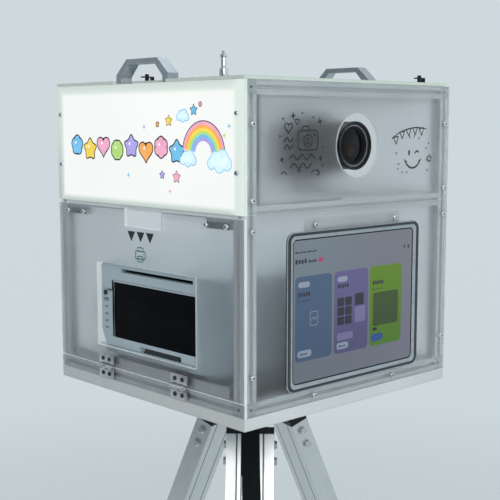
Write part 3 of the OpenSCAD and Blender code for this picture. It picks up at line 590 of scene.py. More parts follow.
def bare_aluminium_material():
    """Bare sheet: brushed one way, with a few handling marks."""
    s = Shade("bare_sheet", (0.7, 0.72, 0.74), 0.4, 1.0)
    brush = s.noise(700.0, 2.0, 0.65, s.stretched((0.02, 1, 1)))
    marks = s.noise(30.0, 5.0, 0.7, warp=1.5)
    s.set(Base_Color=s.ramp(brush, [(0.3, (0.6, 0.62, 0.64)), (0.7, (0.78, 0.8, 0.81))]),
          Roughness=0.3 + brush * 0.16 + marks.rise(0.6, 0.7) * 0.1)
    s.bump(brush, 0.12, 0.0002)
    return s.mat


def bracket_material():
    """The folded brackets behind the sheets, coloured near white, lighter than their bare metal, so that no dark
    patch shows through the frost: painted light. A fine satin orange peel.
    """
    # painted light: near-white tones, lighter than bare metal, so that the brackets show no shade through the
    # frosted sheets
    return grained("whitened_bracket", (0.86, 0.88, 0.89), 0.0,
                   [(0.3, (0.84, 0.86, 0.87)), (0.7, (0.9, 0.915, 0.925))],
                   None, (420.0, 2.0, 0.5), (0.44, 0.12), (0.12, 0.0003))


def frosted_material(name, depth_of, clear=0.16, frost=0.38, colour=(0.945, 0.962, 0.972)):
    """Frosted sheet, polished outside and ground inside. depth_of gives millimetres in from the outer face:
    past half the sheet the roughness rises, so what touches it looks sharp and what stands off blurs."""
    s = Shade(name, colour, clear, 0.0, IOR=1.46, Transmission_Weight=1.0)
    inner = depth_of(s).rise(2.3, 2.7)
    grain = s.noise(1500.0, 2.0, 0.6)
    cloud = s.noise(5.0, 3.0, 0.55)
    s.set(Roughness=(clear + grain * 0.05) * (1 - inner) + inner * (frost + cloud * 0.1),
          Base_Color=s.ramp(cloud, [(0.35, tint(colour, 0.97)), (0.65, tint(colour, 1.025))]))
    s.bump(grain * (1 - inner), 0.05, 0.0001)
    return s.mat


def polished_edge_material(name="sheet_edge", colour=(0.84, 0.89, 0.9), glow=0.16):
    """The sawn and flame-polished edge of a sheet: milky, with a faint glow painted in for the light that the edge
    catches, and faint saw marks across it.
    """
    s = Shade(name, colour, 0.22, 0.0, IOR=1.46, Transmission_Weight=0.25)
    saw = s.noise(260.0, 2.0, 0.6, s.stretched((1, 1, 0.25)))
    s.set(Base_Color=s.ramp(saw, [(0.3, tint(colour, 0.93)), (0.7, tint(colour, 1.06))]),
          Roughness=0.16 + saw * 0.16)
    # painted light: the emission makes the edge glow though it holds no lamp
    if glow:
        s.set(Emission_Color=colour, Emission_Strength=glow)
    s.bump(saw, 0.08, 0.0002)
    return s.mat


def clear_sheet_material():
    """Clear cast sheet with a film of fine dust and light wiping marks."""
    s = Shade("clear_sheet", (0.93, 0.965, 0.95), 0.04, 0.0, IOR=1.49, Transmission_Weight=1.0)
    wipe = s.noise(22.0, 5.0, 0.7, s.stretched((1, 0.25, 1)))
    s.set(Roughness=0.025 + wipe.rise(0.5, 0.75) * 0.07)
    return s.mat


LIT = (21.0, 432.0, 307.0, 465.0)       # the sign's glowing window: u from, u to, v from, v to


def lit_mask(s, soft=5.0):
    """One inside the sign's glowing window, falling to nought over a few millimetres round it."""
    y, z = s.axis(1), s.axis(2)
    inside = ((y - LIT[0]).under(LIT[1] - y)).under((z - LIT[2]).under(LIT[3] - z))
    return inside.rise(-soft, soft * 0.6)


def lit_sign_material():
    """Opal sheet lit from behind: white in the window, dimming to grey-green at the tray's rim."""
    s = Shade("lit_sign", (0.5, 0.54, 0.53), 0.22, 0.0, Emission_Strength=1.0, Specular_IOR_Level=0.25)
    mask = lit_mask(s)
    fall = s.noise(4.0, 2.0, 0.5)
    middle = s.ramp(fall, [(0.3, (0.83, 0.86, 0.84)), (0.7, (0.9, 0.915, 0.895))])
    rim = s.ramp(s.axis(2).rise(298.0, 440.0), [(0.0, (0.24, 0.275, 0.26)), (1.0, (0.4, 0.44, 0.41))])
    rim = s.mix(s.axis(1).rise(34.0, 2.0), rim, (0.52, 0.58, 0.53))
    s.set(Emission_Color=s.mix(mask, s.mix(lit_mask(s, 16.0), rim, (0.62, 0.67, 0.61)), middle),
          Base_Color=s.mix(mask, (0.42, 0.46, 0.45), (0.1, 0.105, 0.1)),
          Roughness=0.16 + s.noise(60.0, 3.0, 0.6) * 0.12)
    return s.mat


def tray_material():
    """The sign tray's moulded back, coloured dark grey as painted shade."""
    return grained("shaded_tray", (0.3, 0.33, 0.35), 0.0,
                   [(0.3, (0.1, 0.115, 0.13)), (0.7, (0.14, 0.155, 0.17))],
                   None, (300.0, 3.0, 0.6), (0.4, 0.1), (0.1, 0.0002))


def steel_material(name="bright_steel", colour=(0.78, 0.79, 0.8), rough=0.2, grime=0.35):
    """Turned or stamped stainless: fine turning marks, a little grey in the low spots."""
    s = Shade(name, colour, rough, 1.0)
    turnings = s.noise(1600.0, 2.0, 0.6)
    stain = s.noise(90.0, 4.0, 0.65)
    s.set(Base_Color=s.ramp(stain, [(0.3, tint(colour, 1 - grime)), (0.5, colour),
                                    (0.75, tint(colour, 1.12))]),
          Roughness=rough - 0.05 + turnings * 0.12)
    s.bump(turnings, 0.06, 0.0001)
    return s.mat


def dark_plastic_material(name, colour=(0.02, 0.021, 0.023), rough=0.42, pebble_size=700.0, relief=0.2):
    """Moulded plastic with a spark-eroded pebble and slight shine where it is handled."""
    s = Shade(name, colour, rough, 0.0, Specular_IOR_Level=0.3)
    pebble = s.noise(pebble_size, 3.0, 0.6)
    rubbed = s.noise(26.0, 4.0, 0.6)
    s.set(Base_Color=s.ramp(rubbed, [(0.3, tint(colour, 0.85)), (0.7, tint(colour, 1.25))]),
          Roughness=rough - 0.08 + pebble * 0.12 + rubbed * 0.08)
    s.bump(pebble, relief, 0.0003)
    return s.mat


def rubber_material(name="black_rubber", colour=(0.018, 0.018, 0.019)):
    s = Shade(name, colour, 0.68)
    grain = s.noise(900.0, 3.0, 0.65)
    dust = s.noise(40.0, 5.0, 0.7)
    s.set(Base_Color=s.mix(dust.rise(0.5, 0.8) * 0.35,
                           s.ramp(grain, [(0.3, tint(colour, 0.8)), (0.7, tint(colour, 1.3))]),
                           (0.09, 0.088, 0.085)),
          Roughness=0.58 + grain * 0.18)
    s.bump(grain, 0.25, 0.0003)
    return s.mat


GLASS_RADIUS = 27.0


def lens_glass_material():
    """Coated glass: near black, with a painted radial shading darkest at four fifths of the radius, painted amber
    and violet coating reflections, and a hard clear gloss.
    """
    s = Shade("coated_glass", (0.012, 0.011, 0.013), 0.04, 0.0, Specular_IOR_Level=0.16)
    x, z = s.axis(0) - LENS[0], s.axis(2) - LENS[1]
    far, amber, violet = (((x - du) * (x - du) + (z - dv) * (z - dv)) ** 0.5
                          for du, dv in ((0, 0), (-3, -9), (7, 8)))
    # painted shade: the ramp over the radius, darkest at four fifths of it
    base = s.ramp(far / GLASS_RADIUS, [(0.0, (0.016, 0.012, 0.012)), (0.45, (0.01, 0.008, 0.009)),
                        (0.8, (0.003, 0.003, 0.004)),
                        (1.0, (0.012, 0.013, 0.015))])
    # painted reflections: an amber spot below the middle and a violet spot above it
    warm = s.mix(amber.rise(11.0, 2.0) * 0.4, base, (0.07, 0.04, 0.028))
    s.set(Base_Color=s.mix(violet.rise(9.0, 2.0) * 0.35, warm, (0.035, 0.025, 0.06)))
    return s.mat


def printer_shell_material():
    """Blue-grey moulded shell with a fine satin pebble."""
    return grained("printer_shell", (0.52, 0.61, 0.67), 0.0,
                   [(0.3, (0.47, 0.56, 0.62)), (0.7, (0.56, 0.65, 0.71))],
                   (12.0, 3.0, 0.6), (800.0, 3.0, 0.6), (0.32, 0.12), (0.14, 0.0002))


def dark_window_material():
    """Smoked pane: almost black, very smooth, with a faint violet depth."""
    s = Shade("smoked_pane", (0.006, 0.006, 0.009), 0.06, 0.0, Specular_IOR_Level=0.06)
    depth = s.noise(11.0, 3.0, 0.6, s.stretched((1, 1, 2.2)), 0.6)
    smear = s.noise(60.0, 4.0, 0.7)
    s.set(Base_Color=s.ramp(depth, [(0.4, (0.0008, 0.0008, 0.0022)), (0.62, (0.003, 0.003, 0.006)),
                                    (0.8, (0.014, 0.012, 0.022))]),
          Roughness=0.05 + smear.rise(0.5, 0.8) * 0.1)
    return s.mat


def surround_material():
    """Dark grey satin bezel, slightly clouded."""
    return grained("dark_bezel", (0.022, 0.028, 0.034), 0.0,
                   [(0.3, (0.017, 0.022, 0.027)), (0.7, (0.027, 0.034, 0.041))],
                   (18.0, 4.0, 0.6), (900.0, 2.0, 0.6), (0.3, 0.12), (0.08, 0.0002))


CARD_FOOT, CARD_HEAD = 80.0, 206.0      # booth heights between which the screen's cards change tone


def screen_material():
    """The tablet's lit ground: grey-blue at the left, drifting to a duller lilac at the right and foot."""
    s = Shade("screen_ground", (0.02, 0.02, 0.022), 0.18, 0.0, Emission_Strength=1.0, Coat_Weight=0.6)
    across = s.axis(0).rise(92.0, 363.0)
    up = s.axis(2).rise(50.0, 255.0)
    left = s.ramp(up, [(0.0, (0.082, 0.105, 0.135)), (0.5, (0.10, 0.13, 0.165)), (1.0, (0.125, 0.165, 0.20))])
    right = s.ramp(up, [(0.0, (0.085, 0.085, 0.13)), (0.5, (0.105, 0.108, 0.15)), (1.0, (0.12, 0.13, 0.165))])
    s.set(Emission_Color=s.mix(across, left, right), Roughness=0.14 + s.noise(70.0, 4.0, 0.7) * 0.12)
    return s.mat


def screen_ink(name, low, high):
    """A lit patch whose colour drifts from foot to head."""
    s = Shade(name, tint(low, 0.3), 0.2, 0.0, Emission_Strength=1.0)
    drift = s.axis(2).rise(CARD_FOOT, CARD_HEAD) + (s.noise(26.0, 2.0, 0.5) - 0.5) * 0.25
    s.set(Emission_Color=s.mix(drift, low, high))
    return s.mat


def sign_ink(name, colour, glow=0.75):
    """Translucent print on the lit sheet: lit from behind, with a soft mottling."""
    s = Shade(name, tint(colour, 0.45), 0.3, 0.0, Emission_Strength=glow)
    mottle = s.noise(34.0, 3.0, 0.6)
    s.set(Emission_Color=s.ramp(mottle, [(0.3, tint(colour, 0.88)),
                                         (0.7, tuple(min(1.0, c * 1.08 + 0.015) for c in colour))]))
    return s.mat


def flat_ink(name, colour, rough=0.5):
    """Opaque ink on a sheet, a little uneven."""
    s = Shade(name, colour, rough)
    uneven = s.noise(120.0, 4.0, 0.65)
    s.set(Base_Color=s.ramp(uneven, [(0.3, tint(colour, 0.8)), (0.7, tint(colour, 1.3))]),
          Roughness=rough - 0.08 + uneven * 0.16)
    return s.mat


def anodised_material():
    """Grey-blue bead-blasted and anodised handles."""
    return grained("blasted_handle", (0.47, 0.515, 0.56), 1.0,
                   [(0.3, (0.43, 0.475, 0.52)), (0.7, (0.53, 0.575, 0.615))],
                   (24.0, 4.0, 0.65), (1300.0, 2.0, 0.7), (0.3, 0.14), (0.14, 0.0002))


def casting_material():
    """Black enamelled casting: a lumpy skin, and grey metal just starting to show through."""
    s = Shade("black_casting", (0.012, 0.013, 0.015), 0.42, 0.0, Specular_IOR_Level=0.2)
    lump = s.noise(260.0, 4.0, 0.6)
    chips = s.noise(70.0, 6.0, 0.75)
    worn = chips.rise(0.66, 0.72)
    s.set(Base_Color=s.mix(worn * 0.3, s.ramp(lump,
                                              [(0.3, (0.008, 0.009, 0.011)), (0.7, (0.018, 0.02, 0.023))]),
                           (0.16, 0.165, 0.17)),
          Roughness=0.34 + lump * 0.2, Metallic=worn * 0.6)
    s.bump(lump, 0.35, 0.0006)
    return s.mat


GROOVE_MIDDLE, GROOVE_HALF = 21.3, 1.2      # where the groove down each leg rail is painted near black as shade, millimetres from the middle


def leg_material(number):
    """Mill-finish leg rails: die lines down the leg, with faint cross rubs from the clamp, and painted shade in
    the groove down each rail.
    """
    s = Shade("leg_rail_%d" % number, (0.54, 0.57, 0.575), 0.32, 0.9)
    line = s.noise(700.0, 2.0, 0.6, leg_stretch(s, number))
    cloud = s.noise(11.0, 4.0, 0.65)
    metal = s.ramp(line * 0.6 + cloud * 0.4, [(0.3, (0.56, 0.59, 0.595)), (0.5, (0.64, 0.67, 0.675)),
                                              (0.72, (0.71, 0.735, 0.74))])
    across = s.part(leg_stretch(s, number, 1.0), 0).absolute() * 1000.0
    # painted shade: the groove is coloured near black
    groove_shade = (across - GROOVE_MIDDLE).absolute().rise(GROOVE_HALF + 0.5, GROOVE_HALF - 0.4)
    s.set(Base_Color=s.mix(groove_shade * 0.93, metal, (0.02, 0.022, 0.024)),
          Roughness=0.24 + line * 0.14 + cloud.rise(0.55, 0.7) * 0.06)
    s.bump(line, 0.16, 0.0002)
    return s.mat


CORD_SPACING, PICK_SPACING = 0.0026, 0.0019     # metres between the strap's warp cords, and between its picks


def webbing_material():
    """Flat woven strap: warp cords down the leg crossed by picks, with painted shade that darkens the gaps between
    them.
    """
    s = Shade("strap_webbing", (0.012, 0.014, 0.018), 0.8, 0.0, Specular_IOR_Level=0.15)
    local = leg_stretch(s, 1, 1.0)
    warp_axis = s.part(local, 0) * (TAU / CORD_SPACING)
    pick_axis = s.part(local, 2) * (TAU / PICK_SPACING)
    cords = s.sum_up("SINE", warp_axis) * 0.5 + 0.5
    picks = s.sum_up("SINE", pick_axis + s.sum_up("SINE", warp_axis * 0.5) * 1.8) * 0.5 + 0.5
    weave_and_gap_shade = cords * 0.5 + picks * 0.5
    fuzz = s.noise(900.0, 3.0, 0.7)
    # painted shade: the weave's low gaps take the darkest tone
    s.set(Base_Color=s.ramp(weave_and_gap_shade * 0.7 + fuzz * 0.3,
                            [(0.2, (0.002, 0.003, 0.004)), (0.6, (0.007, 0.009, 0.012)),
                                                       (0.9, (0.02, 0.025, 0.031))]),
          Roughness=0.7 + fuzz * 0.2)
    s.bump(weave_and_gap_shade + fuzz * 0.2, 0.5, 0.0006)
    return s.mat


FLOOR_FADE = (1.7, 3.9)     # metres from the middle between which the floor fades out


def floor_material():
    """Pale studio floor that melts into the background before its rim."""
    s = Shade("studio_floor", (0.83, 0.86, 0.875), 0.6, 0.0, Specular_IOR_Level=0.2)
    grain = s.noise(60.0, 3.0, 0.6)
    x, y = s.part(s.place(), 0), s.part(s.place(), 1)
    far = ((x * x + y * y) ** 0.5).rise(*FLOOR_FADE)
    s.set(Base_Color=s.ramp(grain, [(0.3, (0.82, 0.85, 0.865)), (0.7, (0.85, 0.88, 0.89))]), Alpha=1 - far)
    return s.mat


# ------------------------------------------------------------------ settings
def colour_setting(name, description, default):
    return FloatVectorProperty(name=name, description=description, default=default, size=3, min=0.0, max=1.0,
                               subtype="COLOR")


def length_setting(name, description, millimetres):
    return FloatProperty(name=name, description=description, default=millimetres * MM, min=0.0,
                         subtype="DISTANCE", unit="LENGTH", precision=5)


class BoothSizes(bpy.types.PropertyGroup):
    """Sizes of the small parts that finish the booth."""
    screw_head_radius: length_setting("Screw head radius", "Radius of the domed cover screws", 4.2)
    screw_head_height: length_setting("Screw head height", "How far the domed cover screws stand out", 3.0)
    hinge_screw_radius: length_setting("Hinge screw radius", "Radius of the flat hinge screws", 3.5)
    sheet_ease: length_setting("Sheet edge ease", "Width of the bevel along the sheets' edges", 0.5)
    bar_ease: length_setting("Bar edge ease", "Width of the bevel along the frame bars", 0.35)
    shell_ease: length_setting("Shell edge ease", "Width of the bevel round the printer's shell", 1.4)
    casting_ease: length_setting("Casting edge ease", "Width of the bevel round the stand's castings", 1.6)
    print_height: length_setting("Print height", "Thickness of the printed marks on the sheets", 0.25)
    ring_ribs: IntProperty(name="Ring ribs", description="Ribs round each lens ring", default=60, min=12,
                           max=120)


class BoothColours(bpy.types.PropertyGroup):
    """Colours of the printed and lit marks."""
    violet: colour_setting("Violet", "Violet marks of the sign", (0.42, 0.36, 0.78))
    yellow: colour_setting("Yellow", "Yellow marks of the sign", (0.93, 0.68, 0.08))
    pink: colour_setting("Pink", "Pink marks of the sign", (0.86, 0.4, 0.56))
    green: colour_setting("Green", "Green marks of the sign", (0.45, 0.72, 0.2))
    blue: colour_setting("Blue", "Blue marks of the sign", (0.17, 0.52, 0.82))
    orange: colour_setting("Orange", "Orange marks of the sign", (0.95, 0.42, 0.1))
    line: colour_setting("Line", "Dark outline of the sign's marks", (0.02, 0.018, 0.035))
    marks: colour_setting("Door marks", "Arrows over the printer's opening", (0.012, 0.016, 0.02))
    icon: colour_setting("Door icon", "Small print mark under the arrows", (0.08, 0.24, 0.27))
    pen: colour_setting("Pen", "Hand-drawn marks on the front", (0.018, 0.02, 0.024))


class BoothLights(bpy.types.PropertyGroup):
    """Strengths of the studio lights."""
    room: FloatProperty(name="Room", description="Brightness of the pale room", default=1.0, min=0.0)
    key: FloatProperty(name="Key", description="Power of the big lamp over the camera", default=26.0, min=0.0,
                       subtype="POWER", unit="POWER")
    tray: FloatProperty(name="Tray", description="Light that spills down from under the sign's tray",
                        default=0.1,
                        min=0.0, subtype="POWER", unit="POWER")
    top: FloatProperty(name="Top", description="Power of the lamp overhead", default=12.0, min=0.0,
                       subtype="POWER", unit="POWER")


# ------------------------------------------------------------------ stage
LENS = (233.0, 388.5)
CAMERA_AT = (-0.9392, -1.0153, 0.4228)
CAMERA_YAW, CAMERA_PITCH = 43.08, 7.008
CAMERA_FOCAL, CAMERA_SENSOR = 74.73, 36.0
DIM_SIDE = 0.35         # brightness of the room's far left against the rest
ROOM_LOW, ROOM_HIGH = (0.585, 0.665, 0.70), (0.655, 0.72, 0.745)


def area_lamp(name, where, target, size, power, colour):
    light = bpy.data.lights.new(name, "AREA")
    light.shape, light.size, light.energy, light.color = "DISK", size, power, colour
    ob = bpy.data.objects.new(name, light)
    ob.location = where
    ob.rotation_mode = "QUATERNION"
    ob.rotation_quaternion = (Vector(target) - Vector(where)).to_track_quat("-Z", "Y")
    bpy.context.scene.collection.objects.link(ob)


def make_floor():
    """Floor: rings of points whose radius grows by a constant ratio: fine inside, coarse at the rim."""
    rings, steps = 24, 96
    radius = np.concatenate([[0.0], np.geomspace(0.2, 4.2, rings)])
    a = np.arange(steps) * TAU / steps
    pts = np.stack([radius[:, None] * np.cos(a), radius[:, None] * np.sin(a), np.zeros((rings + 1, steps))],
                   2)
    me = bpy.data.meshes.new("studio_floor")
    me.from_pydata(pts.reshape(-1, 3).tolist(), [], grid_faces(rings + 1, steps, wrap_cols=True).tolist())
    tidy_mesh(me, 30.0)
    if me.polygons[0].normal.z < 0:
        me.flip_normals()
    me.materials.append(floor_material())
    ob = bpy.data.objects.new("studio_floor", me)
    bpy.context.scene.collection.objects.link(ob)


def make_world(strength):
    """Room: pale grey-blue, a touch brighter above and darker towards the floor."""
    world = bpy.data.worlds.new("pale_room")
    bpy.context.scene.world = world
    world.use_nodes = True
    room = Graph(world.node_tree)
    way = room.out("ShaderNodeTexCoord", output="Generated")
    colour = room.ramp(room.part(way, 2) * 0.5 + 0.5, [(0.0, ROOM_LOW), (1.0, ROOM_HIGH)])
    brightness = room.part(way, 0).rise(-1.0, 0.05, DIM_SIDE * strength, strength)
    shine = room.out("ShaderNodeBackground", None, {0: colour, 1: brightness})
    room.node("ShaderNodeOutputWorld", None, {0: shine})


class BOOTH_OT_stage(bpy.types.Operator):
    """Sets up the camera, the pale room, the lamps and the floor"""
    bl_idname = "booth.stage"
    bl_label = "Stage and camera"

    def execute(self, context):
        lights = context.scene.booth_lights
        scene = context.scene
        camera = bpy.data.cameras.new("camera")
        camera.lens, camera.sensor_width = CAMERA_FOCAL, CAMERA_SENSOR
        camera.clip_start, camera.clip_end = 0.05, 50.0
        camera.dof.use_dof = False
        ob = bpy.data.objects.new("camera", camera)
        ob.location = Vector(CORNER) + Vector(CAMERA_AT)
        yaw, pitch = math.radians(CAMERA_YAW), math.radians(CAMERA_PITCH)
        forward = Vector((math.sin(yaw) * math.cos(pitch), math.cos(yaw) * math.cos(pitch), -math.sin(pitch)))
        ob.rotation_mode = "QUATERNION"
        ob.rotation_quaternion = forward.to_track_quat("-Z", "Y")
        scene.collection.objects.link(ob)
        scene.camera = ob
        scene.view_settings.view_transform = "Standard"
        make_world(lights.room)
        make_floor()
        middle = Vector(at((BOX_W / 2, BOX_D / 2, BOX_H / 2)))
        area_lamp("key_lamp", middle + Vector((-1.7, -2.3, 1.3)), middle, 1.5, lights.key, (1.0, 0.99, 0.97))
        area_lamp("tray_lamp", at((150, 235, 284)), at((150, 235, 0)), 0.28, lights.tray, (0.95, 0.99, 1.0))
        area_lamp("top_lamp", middle + Vector((0.4, 0.5, 2.4)), middle, 2.2, lights.top, (0.97, 0.99, 1.0))
        return {"FINISHED"}


# ------------------------------------------------------------------ frame, boards and sheets
CUBES_ACROSS, CUBES_UP = (5.0, 430.0), (28.0,
                                        470.0)     # near corners of the cubes, and their screws' heights
CUBE_HALF = 10.0


def set_screws():
    """Small black set screws sunk in the corner cubes: a turned plug with a hexagon socket."""
    shapes = []
    deep = [(0, -7.0), (1.9, -7.0), (2.0, -6.6), (2.0, -1.3), (1.75, -0.9), (1.05, -0.9), (1.0, -1.2),
            (1.0, -3.0), (0, -3.2)]
    for x, y, z in product(CUBES_ACROSS, CUBES_ACROSS, CUBES_UP):
        for origin, out in (((x + CUBE_HALF, y, z), (0, -1, 0)), ((x, y + CUBE_HALF, z), (-1, 0, 0))):
            shapes.append(turned(at(origin), out, deep, 18,
                                 lambda a, k: np.where((k >= 5) & (k < 8), hexagon(a), 1.0)))
    return made_piece("set_screws", shapes, "booth", "frame_aluminium",
                      steel_material("black_oxide", (0.05, 0.05, 0.055), 0.35, 0.3))


class BOOTH_OT_frame_bars(bpy.types.Operator):
    """Finishes the slotted bars, the corner cubes with set screws, and the magnets under the middle rail"""
    bl_idname = "booth.frame_bars"
    bl_label = "Frame bars"

    def execute(self, context):
        ease = context.scene.booth_sizes.bar_ease / MM
        rework("frame_posts", frame_post_material(), ease)
        rework("frame_rails", frame_rail_material(), ease)
        rework("frame_hardware", cast_cube_material(), 0.6)
        set_screws()
        return {"FINISHED"}


class BOOTH_OT_boards(bpy.types.Operator):
    """Finishes the white base board, the plate under it, the inner brackets and the printer's shelf"""
    bl_idname = "booth.boards"
    bl_label = "Base boards"

    def execute(self, context):
        rework("base_plate", board_material(), 0.9, 3)
        metal = bare_aluminium_material()
        rework("mounting_plate", metal, 0.6)
        rework("inner_brackets", bracket_material(), 0.4)
        rework("printer_shelf", metal, 0.4)
        return {"FINISHED"}


class BOOTH_OT_sheets(bpy.types.Operator):
    """Finishes the frosted side, rear and front sheets, the sill strip and the clear top sheet"""
    bl_idname = "booth.sheets"
    bl_label = "Frosted and clear sheets"

    def execute(self, context):
        ease = context.scene.booth_sizes.sheet_ease / MM
        edge = polished_edge_material()
        front = frosted_material("frosted_front", lambda s: s.axis(1))
        side = frosted_material("frosted_side", lambda s: s.axis(0))
        outer = BOX_W - 7.5
        rear = frosted_material("frosted_rear", lambda s: outer - s.axis(0).over(s.axis(1)), 0.16, 0.5,
                                (0.93, 0.94, 0.955))
        rework("front_upper_panel", front, ease, 2, edge, 1, [(1, SHEET, -HAIR)])
        rework("front_lower_panel", front, ease, 2, edge, 1, [(1, SHEET, -HAIR)])
        rework("sill_strip", side, ease, 2, edge, 0, [(0, SHEET, -HAIR)])
        rework("side_and_rear_panels", rear, 0.3)
        green = polished_edge_material("clear_sheet_edge", (0.66, 0.74, 0.68))
        rework("top_panel", clear_sheet_material(), ease, 2, green, 2, [(2, BOX_H - SHEET, HAIR)])
        return {"FINISHED"}


# ------------------------------------------------------------------ sign
# the row's first mark, its step, its height and its zigzag
ROW_FROM, ROW_STEP, ROW_UP, ROW_SWAY = 394, 36, 384, 3
ARCH, ARCH_RADIUS, BAND = (84, 380), 42.0, 4.5


def sign_marks(colours, height):
    """A row of outlined stars, hearts and flowers, an arch of six bands on clouds, and a few sparks.
    Each mark is a closed outline carried a fraction of a millimetre out from the lit sheet."""
    inks = [colours.violet, colours.yellow, colours.pink, colours.green, colours.blue, colours.orange]
    names = ["violet", "yellow", "pink", "green", "blue", "orange"]
    layers = {name: [] for name in names + ["line", "white", "sky"]}
    low = 0.02

    def petal(size, count, deep, turn=0.0):
        return lambda u, v, g: grown(wavy_line(size, count, deep, 132, u, v, turn), g)

    def star(size, count=5, soft=0.34):
        return lambda u, v, g: grown(star_line(size, 0.62, count, u, v, soft=soft), g)

    def heart(size):
        return lambda u, v, g: grown(heart_line(size, u, v), g)
    row = [  # outline maker and colour, from the far end of the sign to the near end
        (petal(15, 5, 0.2, 0.3), "blue"), (star(18), "yellow"), (heart(32), "pink"),
        (petal(14.5, 8, 0.1), "green"), (star(18), "violet"), (heart(32), "orange"),
        (petal(15, 6, 0.18), "pink"), (star(18), "blue"),
    ]
    for k, (make, colour) in enumerate(row):
        u, v = ROW_FROM - ROW_STEP * k, ROW_UP + ROW_SWAY * (-1) ** k
        layers["line"].append(plate(SIDE, make(u, v, 2.0), low, height * 0.5))
        layers[colour].append(plate(SIDE, make(u, v, 0.0), low, height * 0.8, 0.05))
        layers["white"].append(plate(SIDE, circle_line(2.2, 16, u + 4, v + 4), low, height))
    bands = ["pink", "orange", "yellow", "green", "blue", "violet"]
    for k, colour in enumerate(bands):
        path = arc(*ARCH, ARCH_RADIUS - BAND * k, 4, 176, 40)
        layers[colour].append(stroke(SIDE, path, BAND + 0.2, low, height * 0.6 + 0.01 * k))
    layers["line"].append(stroke(SIDE, arc(*ARCH, ARCH_RADIUS + 3.0, 2, 178, 44), 1.5, low, height * 0.55))
    clouds = ((50, 370, 1.1), (117, 372, 0.8), (128, 432, 0.6))
    puffs = ((-14, -3, 8), (-5, 4, 10.5), (7, 3, 9), (15, -3, 7), (0, -5, 9))
    for u, v, size in clouds:
        for du, dv, r in puffs:
            ring = circle_line(r * size, 28, u + du * size, v + dv * size)
            layers["blue"].append(plate(SIDE, grown(ring, 1.2), low, height * 0.7))
            layers["sky"].append(plate(SIDE, ring, low, height * 0.9))
    for (u, v, size, colour) in ((104, 440, 8, "blue"), (160, 425, 8, "yellow"), (176, 347, 6, "violet"),
                                 (143, 345, 9, "pink"), (186, 420, 4, "orange"), (90, 448, 3.5, "pink")):
        layers["line"].append(plate(SIDE, grown(star_line(size, 0.5, 5, u, v), 0.9), low, height * 0.5))
        layers[colour].append(plate(SIDE, star_line(size, 0.5, 5, u, v), low, height * 0.8))
    for (u, v, colour) in ((40, 405, "green"), (158, 324, "pink"), (258, 344, "blue"), (30, 418, "blue"),
                           (218, 416, "violet")):
        layers[colour].append(plate(SIDE, star_line(4.5, 0.34, 4, u, v), low, height * 0.5))
    made = dict(zip(names, inks))
    made.update(line=colours.line, white=(0.97, 0.98, 1.0), sky=(0.66, 0.86, 0.97))
    for name, shapes in layers.items():
        glow = 0.35 if name == "line" else 0.8
        piece("sign_marks_" + name, new_mesh("sign_marks_" + name, shapes), "booth", "lit_sign",
              sign_ink("sign_ink_" + name, tuple(made[name]), glow))


class BOOTH_OT_sign(bpy.types.Operator):
    """Finishes the lit sign sheet and its tray, and prints the generic marks on it"""
    bl_idname = "booth.sign"
    bl_label = "Lit sign"

    def execute(self, context):
        sizes = context.scene.booth_sizes
        edge = polished_edge_material("sign_edge", (0.74, 0.8, 0.78), 0.12)
        rework("sign_panel", lit_sign_material(), sizes.sheet_ease / MM, 2, edge, 0)
        rework("sign_light_box", tray_material(), 0.3)
        sign_marks(context.scene.booth_colours, sizes.print_height / MM)
        return {"FINISHED"}


# ------------------------------------------------------------------ screws
SHEET_SCREWS_ACROSS = (15, 440)
FRONT_SCREWS_UP, SIGN_SCREWS_UP = (421, 318, 275.5, 74), (435, 355)
BRACKET_SCREWS_ACROSS, BRACKET_SCREWS_UP = (138.5, 316.5), (277.5, 28)


def cover_screw(origin, out, r, h, shank=9.0):
    """A domed head with a hexagon socket, and its shank behind the sheet's face: one turned profile."""
    t = np.linspace(0, TAU / 4, 7)
    dome = [(r * (0.4 + 0.6 * math.cos(x)), h * (0.14 + 0.86 * math.sin(x))) for x in t]
    prof = [(0.0, -shank), (1.6, -shank), (1.95, -shank + 0.6), (1.95, 0.0), (r * 0.96, 0.0),
            (r, h * 0.07)] + dome
    start = len(prof)
    prof += [(r * 0.37, h * 0.985), (r * 0.335, h * 0.92), (r * 0.335, h * 0.3), (0.0, h * 0.22)]
    return turned(origin, out, prof, 30,
                  lambda a, k: np.where((k > start) & (k < start + 3), hexagon(a) * 0.95, 1.0))


def socket_shade_discs(name, places, h, body):
    """Painted shade in the screws' sockets: low black discs that fill each hexagon."""
    disc = [(0, h * 0.24), (1.55, h * 0.24), (1.55, h * 0.62), (1.2, h * 0.5), (0, h * 0.42)]
    shapes = [turned(at(p), out, disc, 12) for p, out in places]
    piece(name, new_mesh(name, shapes), body, "stainless",
          flat_ink(name + "_black", (0.006, 0.006, 0.007), 0.6))


class BOOTH_OT_cover_screws(bpy.types.Operator):
    """Makes the bright domed screws of the front sheets, the tablet bracket and the sign"""
    bl_idname = "booth.cover_screws"
    bl_label = "Cover screws"

    def execute(self, context):
        sizes = context.scene.booth_sizes
        r, h = sizes.screw_head_radius / MM, sizes.screw_head_height / MM
        places = [((x, 0, z), (0, -1, 0)) for x, z in (*product(SHEET_SCREWS_ACROSS, FRONT_SCREWS_UP),
                                                       *product(BRACKET_SCREWS_ACROSS, BRACKET_SCREWS_UP))]
        places += [((0, y, z), (-1, 0, 0)) for y, z in product(SHEET_SCREWS_ACROSS, SIGN_SCREWS_UP)]
        shapes = [cover_screw(at(p), out, r, h) for p, out in places]
        made_piece("cover_screws", shapes, "booth", "stainless",
                   steel_material("screw_steel", (0.74, 0.76, 0.78), 0.17), 40.0, "panel_screws")
        socket_shade_discs("cover_screw_sockets", places, h, "booth")
        return {"FINISHED"}


